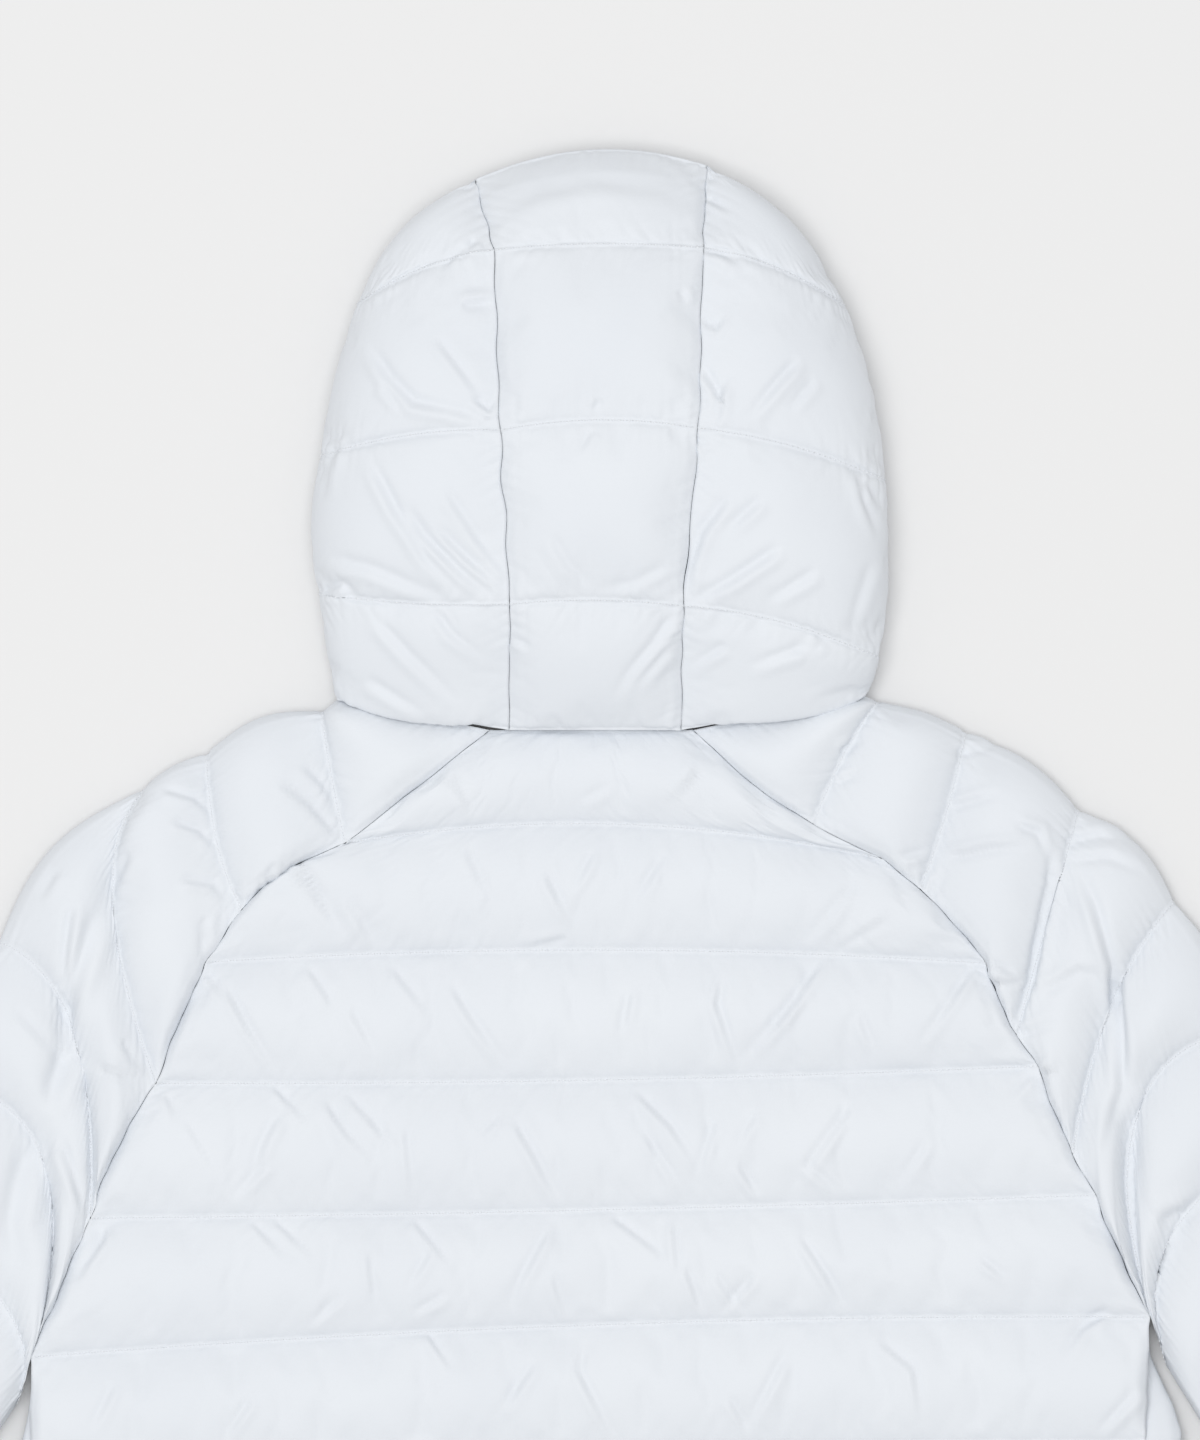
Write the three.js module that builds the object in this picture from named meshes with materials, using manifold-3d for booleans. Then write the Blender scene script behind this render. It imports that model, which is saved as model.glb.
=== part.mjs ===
// A white quilted puffer jacket, laid face down on a flat surface with its hood laid up above the neck
// and its raglan sleeves drawn down beside the body.
// Millimetres, +Z up. X runs across the jacket, +Y from the hem to the hood, and the jacket rests on z = 0.
// The tables measure X from the middle of the back and Y from the back neck seam.

import * as THREE from "three";
import Module from "manifold-3d";
import { mergeVertices } from "three/addons/utils/BufferGeometryUtils.js";

// Padded walls
const SEAM_GAP = 0.3; // between two pieces that are sewn together
const UNDER_WALL = 13; // height of the layer that lies on the surface
const OVER_FLOOR = UNDER_WALL + SEAM_GAP; // inner face of the layer that lies on top
const STITCH_WALL = 4; // wall left under a stitched line of the top layer
const SEAM_TOP = OVER_FLOOR + STITCH_WALL; // height of the seams between top panels
const BODY_CREST = 15; // how far a channel of the back swells above its stitching
const SLEEVE_CREST = 16;
const UNDER_LIFT = 3; // how far stitching stays off the surface underneath
const REST_CREST = 0.9; // a channel lies on the surface where it has this share of its swell
const EDGE_SWELL = 34; // distance from a seam over which a channel reaches its full height
const BAFFLE_STEPS = 3; // rows of the mesh in one quilted channel
const CREST_POWER = 0.6; // below 1 a channel is fuller than half a sine wave

// Side of the body, where the front wraps round the edge to a seam that lies on top
const WRAP_SET_IN = 6; // how far the side seam slants inwards through the wall

// Front opening
const ZIP_WIDTH = 14;
const ZIP_THICKNESS = 2.4;
const ZIP_FLOOR = 8; // height of the tape's lower face
const ZIP_HALF = ZIP_WIDTH / 2;
const OPENING_EDGE = ZIP_HALF + SEAM_GAP;
const OPENING_LIFT = 5; // the fronts round up from the surface beside the zip
const ZIP_TOP = -1.5;
const SLIDER = { width: 9, length: 12, thickness: 3.1, bevel: 1, y: -12 };
const PIVOT = { y: -15, z: 2.35, pin: 0.5, hole: 0.8, sides: 16 }; // the pull hinges on a pin along X
const LUG = { width: 2, half: 1.5, below: 1.4 };
const PULL = { width: 6.4, tail: 24, thickness: 1.5, notchHalf: 1.3, notchEnd: 2.6, ear: 1.2 };
const PULL_SLOT = { half: 1.2, from: 11, to: 20 };

// Hood
const HOOD_WALL = 12;
const HOOD_EDGE_RADIUS = 20; // rounding from the hood's outline down to the surface
const HOOD_INNER_RADIUS = 8;
const HOOD_CREST = 10;
const HOOD_CROWN = 4; // how far the centre panel arches between its seams

const SHELL_COLOUR = 0xebeef3;
const METAL_COLOUR = 0xd9dce0;
const TAPE_COLOUR = 0xe2e6eb;

// Stitched lines of the body, from the neck to the hem. Left and right are the ends of each line, on the
// raglan seams as far as the underarm and on the side seams below it. A bulge is how far the edge swells
// out between this line and the next one.
const BODY_LINES = [
  { line: "neck", leftX: -53.5, leftY: 0, leftBulge: 0, midY: 0, rightX: 48, rightY: 0, rightBulge: -6 },
  { line: "1", leftX: -125.5, leftY: -56.5, leftBulge: 10, midY: -47, rightX: 142, rightY: -64, rightBulge: 3 },
  { line: "2", leftX: -195, leftY: -116, leftBulge: 1, midY: -110, rightX: 194.5, rightY: -116.5, rightBulge: -3 },
  { line: "3", leftX: -220.5, leftY: -176.5, leftBulge: 3, midY: -175, rightX: 220.5, rightY: -168, rightBulge: -2 },
  { line: "4", leftX: -253.5, leftY: -244, leftBulge: 0, midY: -240, rightX: 249, rightY: -232.5, rightBulge: -1 },
  { line: "underarm", leftX: -283, leftY: -313.5, leftBulge: 0, midY: -297.5, rightX: 276.5, rightY: -293.5, rightBulge: 0 },
  { line: "6", leftX: -284, leftY: -374, leftBulge: 1, midY: -360, rightX: 274.5, rightY: -356, rightBulge: 1 },
  { line: "7", leftX: -284, leftY: -435, leftBulge: 1, midY: -422, rightX: 273.5, rightY: -419, rightBulge: 1 },
  { line: "8", leftX: -283, leftY: -497, leftBulge: 1, midY: -485, rightX: 273, rightY: -482, rightBulge: 1 },
  { line: "9", leftX: -282, leftY: -559, leftBulge: 1, midY: -548, rightX: 273, rightY: -545, rightBulge: 1 },
  { line: "10", leftX: -281, leftY: -621, leftBulge: 1, midY: -611, rightX: 272, rightY: -608, rightBulge: 1 },
  { line: "hem stitching", leftX: -279, leftY: -680, leftBulge: 0, midY: -671, rightX: 270, rightY: -668, rightBulge: 0 },
  { line: "hem", leftX: -278, leftY: -700, leftBulge: 0, midY: -691, rightX: 269, rightY: -688, rightBulge: 0 },
];
const UNDERARM_LINE = BODY_LINES.findIndex(({ line }) => line === "underarm");
const UNDERARM_ROW = UNDERARM_LINE * BAFFLE_STEPS;

// Stitched lines of the sleeves, from the neck to the cuff. As far as the underarm a line starts at a row
// of the raglan seam, which seamRow counts from the neck. Below it, inner is on the folded underarm edge.
// Mid is the middle of the line and outer its end on the outline, which swells out by bulge before the next.
const SLEEVE_LINES = {
  left: [
    { line: "neck", seamRow: 0, midX: -91.75, midY: 7.5, outerX: -130, outerY: 15, bulge: 0 },
    { line: "1", seamRow: 3, midX: -134, midY: -16, outerX: -137, outerY: 9, bulge: 8 },
    { line: "2", seamRow: 5, midX: -190, midY: -56, outerX: -195, outerY: -12.5, bulge: 3 },
    { line: "3", seamRow: 9, midX: -242, midY: -84, outerX: -226.5, outerY: -29.5, bulge: 13 },
    { line: "4", seamRow: 12, midX: -262, midY: -150, outerX: -299, outerY: -106, bulge: 5 },
    { line: "5", seamRow: 15, midX: -278, midY: -212, outerX: -341, outerY: -172, bulge: 4 },
    { line: "6", innerX: -291, innerY: -338, midX: -299, midY: -284, outerX: -375, outerY: -222, bulge: 4 },
    { line: "7", innerX: -313, innerY: -371, midX: -345, midY: -324, outerX: -406, outerY: -282, bulge: 4 },
    { line: "8", innerX: -342, innerY: -414, midX: -384, midY: -370, outerX: -437, outerY: -339, bulge: 4 },
    { line: "9", innerX: -371, innerY: -464, midX: -415, midY: -424, outerX: -467, outerY: -396, bulge: 4 },
    { line: "10", innerX: -401, innerY: -515, midX: -446, midY: -480, outerX: -497, outerY: -452, bulge: 4 },
    { line: "cuff stitching", innerX: -436, innerY: -577, midX: -480, midY: -547, outerX: -528, outerY: -520, bulge: 0 },
    { line: "cuff", innerX: -446, innerY: -594, midX: -489, midY: -565, outerX: -536, outerY: -538, bulge: 0 },
  ],
  right: [
    { line: "neck", seamRow: 0, midX: 91, midY: 8.5, outerX: 134, outerY: 17, bulge: 0 },
    { line: "1", seamRow: 2, midX: 124, midY: -11, outerX: 140, outerY: 14, bulge: 3 },
    { line: "2", seamRow: 4, midX: 175, midY: -40, outerX: 184, outerY: -1.5, bulge: 6 },
    { line: "3", seamRow: 8, midX: 227, midY: -90, outerX: 240.5, outerY: -40, bulge: 8 },
    { line: "4", seamRow: 11, midX: 257, midY: -138, outerX: 288.5, outerY: -86, bulge: 5 },
    { line: "5", seamRow: 15, midX: 271, midY: -190, outerX: 325, outerY: -150, bulge: 4 },
    { line: "6", innerX: 285, innerY: -318, midX: 289, midY: -250, outerX: 354, outerY: -204, bulge: 4 },
    { line: "7", innerX: 305, innerY: -351, midX: 329, midY: -295, outerX: 384, outerY: -262, bulge: 4 },
    { line: "8", innerX: 332, innerY: -393, midX: 365, midY: -343, outerX: 414, outerY: -317, bulge: 4 },
    { line: "9", innerX: 361, innerY: -443, midX: 395, midY: -398, outerX: 444, outerY: -373, bulge: 4 },
    { line: "10", innerX: 390, innerY: -494, midX: 425, midY: -454, outerX: 474, outerY: -429, bulge: 4 },
    { line: "cuff stitching", innerX: 424, innerY: -556, midX: 460, midY: -521, outerX: 505, outerY: -497, bulge: 0 },
    { line: "cuff", innerX: 433, innerY: -573, midX: 469, midY: -539, outerX: 513, outerY: -515, bulge: 0 },
  ],
};
const SLEEVE_END_LINE = 5; // the sleeve is a closed tube from this line on

// The deep fold where each sleeve is drawn down: a trough along the middle of its stitched lines.
const SLEEVE_FOLD = {
  left: { fromLine: 2.6, toLine: 7, across: 0.46, width: 0.16, depth: 11 },
  right: { fromLine: 3.2, toLine: 6.6, across: 0.42, width: 0.16, depth: 8 },
};

// Columns across the top of a sleeve, from its inner edge to its outline, and back along its underside
const SLEEVE_OVER = [0, 0.05, 0.16, 0.3, 0.46, 0.62, 0.78, 0.9, 0.97, 1];
const SLEEVE_UNDER = [0.97, 0.9, 0.5, 0.1, 0];
const SLEEVE_ROUNDING = 3; // a higher power keeps the sleeve full nearer its edges
const SLEEVE_SET_IN = { inner: 0.07, outer: 0.9 }; // ends of the flat slit inside, as shares of the width
const SLIT_HALF = 0.3;

// Stitched lines of the hood, from the neck to its top. Seam is where a line crosses the seam beside the
// centre panel, side is on the hood's outline, and face is on the edge of the face opening, underneath.
// Height is that of the seam, and side height that of the outline's outermost point.
const HOOD_LINES = {
  left: [
    { line: "neck", seamX: -44, seamY: 0, sideX: -130, sideY: 15, bulge: 1, faceX: -7.6, faceY: 0, bow: 0 },
    { line: "C", seamX: -43.5, seamY: 63, sideX: -139, sideY: 68, bulge: 4, faceX: -52, faceY: 46, bow: -2 },
    { line: "B", seamX: -48.5, seamY: 150, sideX: -138, sideY: 137, bulge: 2, faceX: -86, faceY: 125, bow: 4 },
    { line: "A", seamX: -51.5, seamY: 240, sideX: -120, sideY: 213, bulge: 9, faceX: -74, faceY: 205, bow: 5 },
    { line: "top", seamX: -61, seamY: 275, sideX: -61, sideY: 275, bulge: 0, faceX: -50, faceY: 243, bow: 0 },
  ],
  right: [
    { line: "neck", seamX: 42, seamY: 0, sideX: 134, sideY: 17, bulge: 1, faceX: 7.6, faceY: 0, bow: 0 },
    { line: "C", seamX: 43, seamY: 62, sideX: 141, sideY: 36, bulge: 3, faceX: 54, faceY: 42, bow: 5 },
    { line: "B", seamX: 51, seamY: 151, sideX: 144, sideY: 125, bulge: 4, faceX: 86, faceY: 120, bow: 4 },
    { line: "A", seamX: 53, seamY: 241, sideX: 124, sideY: 212, bulge: 10, faceX: 74, faceY: 202, bow: 5 },
    { line: "top", seamX: 55, seamY: 282, sideX: 55, sideY: 282, bulge: 0, faceX: 48, faceY: 246, bow: 0 },
  ],
};
const HOOD_LEVELS = [
  { line: "neck", midY: 0, height: 25, sideHeight: 14, setIn: 0, underLift: 3 },
  { line: "C", midY: 65, height: 54, sideHeight: 20, setIn: 0, underLift: 2 },
  { line: "B", midY: 155, height: 64, sideHeight: 22, setIn: 0, underLift: 2 },
  { line: "A", midY: 243, height: 52, sideHeight: 22, setIn: 0, underLift: 2 },
  { line: "top", midY: 290, height: 22, sideHeight: 22, setIn: 12, underLift: 0 },
];
const FOREHEAD_Y = 247; // middle of the face opening's upper edge
const HOOD_STEPS = 4;
const HOOD_TURNS = [0, 18, 36, 54, 70, 82, 90]; // degrees round the side, from the seam to the outline
const HOOD_UNDER_TURNS = [35, 65, 90]; // degrees from the outline down to the surface
const CENTRE_COLUMNS = [0, 0.12, 0.35, 0.65, 0.88, 1];

// Columns across the back, as shares of its width
const BACK_COLUMNS = [0, 0.015, 0.045, 0.1, 0.18, 0.28, 0.38, 0.46, 0.54, 0.62, 0.72, 0.82, 0.9, 0.955, 0.985, 1];
// Columns of a front from the zip outwards: shares of the way to its edge columns, then these, which are
// flat at a raglan seam or wrapped round the side. In is measured back from the seam, past it when negative.
const FRONT_FLAT = [0.08, 0.38, 0.7];
const FRONT_FULL_WIDTH = 90; // a narrower front has its edge columns closer together
const FRONT_EDGE = [
  { flatIn: 24, flatZ: 0, wrapIn: 6, wrapZ: 0 },
  { flatIn: 12, flatZ: 0.5, wrapIn: -9, wrapZ: 3 },
  { flatIn: 6, flatZ: 1.2, wrapIn: -13, wrapZ: 9 },
  { flatIn: 2, flatZ: 2.2, wrapIn: -9, wrapZ: 15 },
];

const radians = THREE.MathUtils.degToRad;
const { lerp, clamp } = THREE.MathUtils;

// A closed wall between a grid of outer points and one of inner points. From the row closedFrom on, the
// last column is joined to the first, so that the wall becomes a tube there.
function wallGeometry(outer, inner, closedFrom = Infinity) {
  const positions = [];
  const known = new Map();
  const numberOf = (point) => {
    const key = point.toArray().map((value) => value.toFixed(3)).join();
    if (!known.has(key)) {
      known.set(key, known.size);
      positions.push(point.x, point.y, point.z);
    }
    return known.get(key);
  };
  const triangles = [];
  const triangle = (a, b, c) => {
    if (a !== b && b !== c && c !== a) triangles.push(a, b, c);
  };
  const quad = (...corners) => {
    const [a, b, c, d] = corners.map(numberOf);
    triangle(a, b, c);
    triangle(a, c, d);
  };

  const lastRow = outer.length - 1;
  const lastColumn = outer[0].length - 1;
  for (let i = 0; i < lastRow; i += 1) {
    for (let j = 0; j < lastColumn; j += 1) {
      quad(outer[i][j], outer[i + 1][j], outer[i + 1][j + 1], outer[i][j + 1]);
      quad(inner[i][j + 1], inner[i + 1][j + 1], inner[i + 1][j], inner[i][j]);
    }
    const m = lastColumn;
    if (i < closedFrom) {
      quad(outer[i + 1][0], outer[i][0], inner[i][0], inner[i + 1][0]);
      quad(outer[i][m], outer[i + 1][m], inner[i + 1][m], inner[i][m]);
    } else {
      quad(outer[i][m], outer[i + 1][m], outer[i + 1][0], outer[i][0]);
      quad(inner[i][0], inner[i + 1][0], inner[i + 1][m], inner[i][m]);
    }
  }
  for (let j = 0; j < lastColumn; j += 1) {
    quad(outer[0][j], outer[0][j + 1], inner[0][j + 1], inner[0][j]);
    quad(outer[lastRow][j + 1], outer[lastRow][j], inner[lastRow][j], inner[lastRow][j + 1]);
  }
  if (closedFrom < lastRow) {
    const [first, last] = [outer[closedFrom], inner[closedFrom]];
    quad(first[lastColumn], first[0], last[0], last[lastColumn]);
    quad(outer[lastRow][0], outer[lastRow][lastColumn], inner[lastRow][lastColumn], inner[lastRow][0]);
  }

  if (signedVolume(positions, triangles) < 0) triangles.reverse();
  const geometry = new THREE.BufferGeometry();
  geometry.setAttribute("position", new THREE.Float32BufferAttribute(positions, 3));
  geometry.setIndex(triangles);
  geometry.computeVertexNormals();
  return geometry;
}

function signedVolume(positions, triangles) {
  const corner = (k) => new THREE.Vector3().fromArray(positions, 3 * triangles[k]);
  let sum = 0;
  for (let k = 0; k < triangles.length; k += 3) {
    sum += corner(k).dot(corner(k + 1).cross(corner(k + 2)));
  }
  return sum / 6;
}

// Rows of the mesh between stitched lines: stepsAfter(i) of them from line i to the next one.
function quiltRows(lines, stepsAfter) {
  const rows = [];
  lines.slice(0, -1).forEach((from, i) => {
    const steps = stepsAfter(i);
    for (let step = 0; step < steps; step += 1) {
      rows.push({ from, to: lines[i + 1], share: step / steps, place: i + step / steps });
    }
  });
  const last = lines[lines.length - 1];
  rows.push({ from: last, to: last, share: 0, place: lines.length - 1 });
  return rows;
}

const valueAt = (row, key) => lerp(row.from[key], row.to[key], row.share);
const crestAt = (row) => Math.sin(Math.PI * row.share) ** CREST_POWER;
const liftAt = (row, lift) => lift * Math.max(0, 1 - crestAt(row) / REST_CREST);

// A row's point on an edge that swells outwards between stitched lines. Turn is 1 where outwards lies to
// the right of the way down the edge, and -1 where it lies to the left.
function edgeAt(row, xKey, yKey, bulgeKey, turn) {
  const from = new THREE.Vector2(row.from[xKey], row.from[yKey]);
  const to = new THREE.Vector2(row.to[xKey], row.to[yKey]);
  const way = to.clone().sub(from).normalize();
  const swell = turn * row.from[bulgeKey] * Math.sin(Math.PI * row.share);
  return from.lerp(to, row.share).add(new THREE.Vector2(way.y, -way.x).multiplyScalar(swell));
}

// Moves each point of a seam sideways, away from the piece on its other side.
function besideSeam(points, distance) {
  return points.map((point, i) => {
    const before = points[Math.max(i - 1, 0)];
    const after = points[Math.min(i + 1, points.length - 1)];
    const way = after.clone().sub(before).normalize();
    return point.clone().add(new THREE.Vector2(way.y, -way.x).multiplyScalar(distance));
  });
}

const bodyRows = quiltRows(BODY_LINES, () => BAFFLE_STEPS);
const LEFT_TURN = 1; // on the way down the left edge, outwards lies to the right
const RIGHT_TURN = -1;
const bodyEdges = {
  left: bodyRows.map((row) => edgeAt(row, "leftX", "leftY", "leftBulge", LEFT_TURN)),
  right: bodyRows.map((row) => edgeAt(row, "rightX", "rightY", "rightBulge", RIGHT_TURN)),
};

// How far the body's edge has turned from a flat raglan seam, 0, to a wrapped side seam, 1
const wrapAt = (i) => clamp((i - UNDERARM_ROW) / BAFFLE_STEPS, 0, 1);

// Stitched lines bow: their middle is given apart from their ends.
function bodyY(row, left, right, share) {
  const bow = valueAt(row, "midY") - (left.y + right.y) / 2;
  return lerp(left.y, right.y, share) + 4 * bow * share * (1 - share);
}

// 0 at an edge, rising to 1 in a quarter circle over the distance in which a channel fills out
function fillFrom(distance) {
  const rest = 1 - clamp(distance / EDGE_SWELL, 0, 1);
  return Math.sqrt(1 - rest * rest);
}

function backGeometry() {
  const left = besideSeam(bodyEdges.left, -SEAM_GAP / 2);
  const right = besideSeam(bodyEdges.right, SEAM_GAP / 2);
  const outer = [];
  const inner = [];
  bodyRows.forEach((row, i) => {
    const setIn = wrapAt(i) * WRAP_SET_IN;
    const width = right[i].x - left[i].x;
    const neckGap = i === 0 ? SEAM_GAP / 2 : 0;
    const placeAt = (share, inset, z) => {
      const x = lerp(left[i].x + inset, right[i].x - inset, share);
      return new THREE.Vector3(x, bodyY(row, left[i], right[i], share) - neckGap, z);
    };
    outer.push(BACK_COLUMNS.map((share) => {
      const fill = fillFrom(Math.min(share, 1 - share) * width);
      return placeAt(share, 0, SEAM_TOP + BODY_CREST * crestAt(row) * fill + 0.2 * BODY_CREST * fill);
    }));
    inner.push(BACK_COLUMNS.map((share) => placeAt(share, setIn, OVER_FLOOR)));
  });
  return wallGeometry(outer, inner);
}

function frontGeometry(side) {
  const sign = side === "left" ? -1 : 1;
  const turn = side === "left" ? LEFT_TURN : RIGHT_TURN;
  const seam = besideSeam(bodyEdges[side], (-turn * SEAM_GAP) / 2);
  const outer = [];
  const inner = [];
  bodyRows.forEach((row, i) => {
    const wrap = wrapAt(i);
    const lift = liftAt(row, UNDER_LIFT);
    const neckGap = i === 0 ? SEAM_GAP / 2 : 0;
    const [left, right] = [bodyEdges.left[i], bodyEdges.right[i]];
    // Under the back's side seam, the front's own side seam keeps the gap across the slanted rim.
    const edgeX = seam[i].x + sign * wrap * SEAM_GAP;
    const placeAt = (x, z) => {
      const share = clamp((x - left.x) / (right.x - left.x), 0, 1);
      return new THREE.Vector3(x, bodyY(row, left, right, share) - neckGap, z);
    };
    const room = Math.min(1, Math.abs(edgeX) / FRONT_FULL_WIDTH);
    const round = 0.75 + 0.25 * crestAt(row); // the side is drawn in at the stitching
    const edgeColumns = FRONT_EDGE.map(({ flatIn, flatZ, wrapIn, wrapZ }) => {
      const back = lerp(flatIn * room, wrapIn * round, wrap);
      return placeAt(edgeX - sign * back, Math.max(lift, lerp(flatZ, wrapZ, wrap)));
    });
    outer.push([
      placeAt(sign * OPENING_EDGE, OPENING_LIFT),
      ...FRONT_FLAT.map((share) => placeAt(lerp(sign * OPENING_EDGE, edgeColumns[0].x, share), lift)),
      ...edgeColumns,
      placeAt(edgeX, lerp(UNDER_LIFT, SEAM_TOP - SEAM_GAP, wrap)),
    ]);
    const columns = FRONT_FLAT.length + FRONT_EDGE.length + 1;
    const innerX = edgeX - sign * wrap * WRAP_SET_IN;
    inner.push(Array.from({ length: columns + 1 }, (_, j) => {
      return placeAt(lerp(sign * OPENING_EDGE, innerX, j / columns), UNDER_WALL);
    }));
  });
  return wallGeometry(outer, inner);
}

function sleeveGeometry(side) {
  const lines = SLEEVE_LINES[side];
  const sign = side === "left" ? -1 : 1;
  const turn = side === "left" ? LEFT_TURN : RIGHT_TURN;
  const fold = SLEEVE_FOLD[side];
  const seam = besideSeam(bodyEdges[side].slice(0, UNDERARM_ROW + 1), (turn * SEAM_GAP) / 2);
  const stepsAfter = (i) => {
    return i < SLEEVE_END_LINE ? lines[i + 1].seamRow - lines[i].seamRow : BAFFLE_STEPS;
  };
  const rows = quiltRows(lines, stepsAfter);
  const underarm = seam[UNDERARM_ROW];

  const outer = [];
  const inner = [];
  rows.forEach((row, i) => {
    const open = i < UNDERARM_ROW;
    const innerEdge = i <= UNDERARM_ROW ? seam[i] : new THREE.Vector2(
      lerp(row.from.innerX ?? underarm.x, row.to.innerX, row.share),
      lerp(row.from.innerY ?? underarm.y, row.to.innerY, row.share),
    );
    const middle = new THREE.Vector2(valueAt(row, "midX"), valueAt(row, "midY"));
    const outline = edgeAt(row, "outerX", "outerY", "bulge", turn);
    const neckGap = i === 0 ? SEAM_GAP / 2 : 0;
    // The parabola through the three points of the line
    const placeAt = (share, z) => {
      const point = innerEdge.clone().multiplyScalar((1 - share) * (1 - 2 * share));
      point.addScaledVector(middle, 4 * share * (1 - share));
      point.addScaledVector(outline, share * (2 * share - 1));
      return new THREE.Vector3(point.x, point.y - neckGap, z);
    };
    const onFold = clamp((row.place - fold.fromLine) * 2, 0, 1) * clamp((fold.toLine - row.place) * 2, 0, 1);
    const trough = (share) => {
      return onFold * fold.depth * Math.exp(-(((share - fold.across) / fold.width) ** 2));
    };
    const rounding = (share) => Math.sqrt(1 - Math.abs(2 * share - 1) ** SLEEVE_ROUNDING);
    const over = (share) => {
      const swell = SLEEVE_CREST * (0.2 + crestAt(row)) * rounding(share);
      return share === 1 ? OVER_FLOOR : SEAM_TOP + Math.max(swell - trough(share), 0);
    };
    const lift = liftAt(row, UNDER_LIFT);
    const under = (share) => Math.max(lift, 6 * (1 - rounding(share)) * (open && share < 0.5 ? 0.5 : 1));
    outer.push([
      ...SLEEVE_OVER.map((share) => placeAt(share, over(share))),
      ...SLEEVE_UNDER.map((share) => placeAt(share, under(share))),
    ]);
    const slit = (share) => lerp(open ? 0 : SLEEVE_SET_IN.inner, SLEEVE_SET_IN.outer, share);
    inner.push([
      ...SLEEVE_OVER.map((share) => {
        return placeAt(slit(share), share === 1 ? UNDER_WALL : UNDER_WALL + SLIT_HALF);
      }),
      ...SLEEVE_UNDER.map((share) => placeAt(slit(share), UNDER_WALL - SLIT_HALF)),
    ]);
  });
  return wallGeometry(outer, inner, UNDERARM_ROW);
}

// The hood's two sorts of panel share these: the levels of its rows, and the way from its outline down to
// the surface and in to the edge of the face opening.
const hoodRows = quiltRows(HOOD_LEVELS, () => HOOD_STEPS);
const hoodLines = {
  left: quiltRows(HOOD_LINES.left, () => HOOD_STEPS),
  right: quiltRows(HOOD_LINES.right, () => HOOD_STEPS),
};

function hoodUnderside(side2, face2, level, lift) {
  const way = face2.clone().sub(side2);
  const length = way.length();
  way.normalize();
  const placeAt = (distance, z) => {
    const point = side2.clone().addScaledVector(way, Math.min(distance, length));
    return new THREE.Vector3(point.x, point.y, z);
  };
  const radius = Math.min(HOOD_EDGE_RADIUS, 0.6 * length);
  const outer = HOOD_UNDER_TURNS.map((turn) => {
    const angle = radians(turn);
    return placeAt(radius * (1 - Math.cos(angle)), Math.max(level * (1 - Math.sin(angle)), lift));
  });
  const inner = HOOD_UNDER_TURNS.map((turn) => {
    const angle = radians(turn);
    const z = lerp(level, UNDER_WALL, Math.sin(angle));
    return placeAt(HOOD_WALL + HOOD_INNER_RADIUS * (1 - Math.cos(angle)), z);
  });
  outer.push(placeAt(length, lift));
  inner.push(placeAt(length, UNDER_WALL));
  return { outer, inner, rim: placeAt(HOOD_WALL, level) };
}

function hoodSideGeometry(side) {
  const sign = side === "left" ? -1 : 1;
  const turn = side === "left" ? -1 : 1; // the lines run up the hood here
  const outer = [];
  const inner = [];
  hoodLines[side].forEach((row, i) => {
    const level = hoodRows[i];
    const crest = HOOD_CREST * crestAt(row);
    const seamShift = (sign * SEAM_GAP) / 2;
    const neckGap = i === 0 ? SEAM_GAP / 2 : 0;
    const seam = new THREE.Vector2(valueAt(row, "seamX") + seamShift, valueAt(row, "seamY") + neckGap);
    const outline = edgeAt(row, "sideX", "sideY", "bulge", turn);
    outline.add(new THREE.Vector2(i === hoodRows.length - 1 ? seamShift : 0, neckGap));
    const face = new THREE.Vector2(valueAt(row, "faceX"), valueAt(row, "faceY") + neckGap);
    if (i === hoodRows.length - 1) face.x += seamShift;
    const sideHeight = valueAt(level, "sideHeight");
    const height = valueAt(level, "height");
    const setIn = valueAt(level, "setIn");
    const lift = liftAt(row, valueAt(level, "underLift"));
    const under = hoodUnderside(outline, face, sideHeight, lift);

    const overAt = (from, to, top, low, swell) => HOOD_TURNS.map((degrees) => {
      const angle = radians(degrees);
      const share = Math.sin(angle);
      const bow = 4 * valueAt(row, "bow") * share * (1 - share);
      return new THREE.Vector3(
        lerp(from.x, to.x, share),
        lerp(from.y, to.y, share) + bow,
        lerp(low, top, Math.cos(angle)) + swell * Math.sin(2 * angle),
      );
    });
    const innerSeam = new THREE.Vector2(seam.x, seam.y - setIn);
    const rim = new THREE.Vector2(under.rim.x, under.rim.y);
    const last = i === hoodRows.length - 1;
    outer.push([...overAt(seam, outline, height, sideHeight, crest), ...under.outer]);
    inner.push([
      ...overAt(last ? rim : innerSeam, rim, hoodInnerHeight(level), sideHeight, 0),
      ...under.inner,
    ]);
  });
  return wallGeometry(outer, inner);
}

// The inner face under the hood's seams: a wall's thickness down, and level with the outline at the top
function hoodInnerHeight(level) {
  const setInShare = valueAt(level, "setIn") / HOOD_WALL;
  return valueAt(level, "height") - HOOD_WALL * (1 - setInShare) + (level.from.line === "neck" ? 1 - level.share : 0);
}

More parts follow.
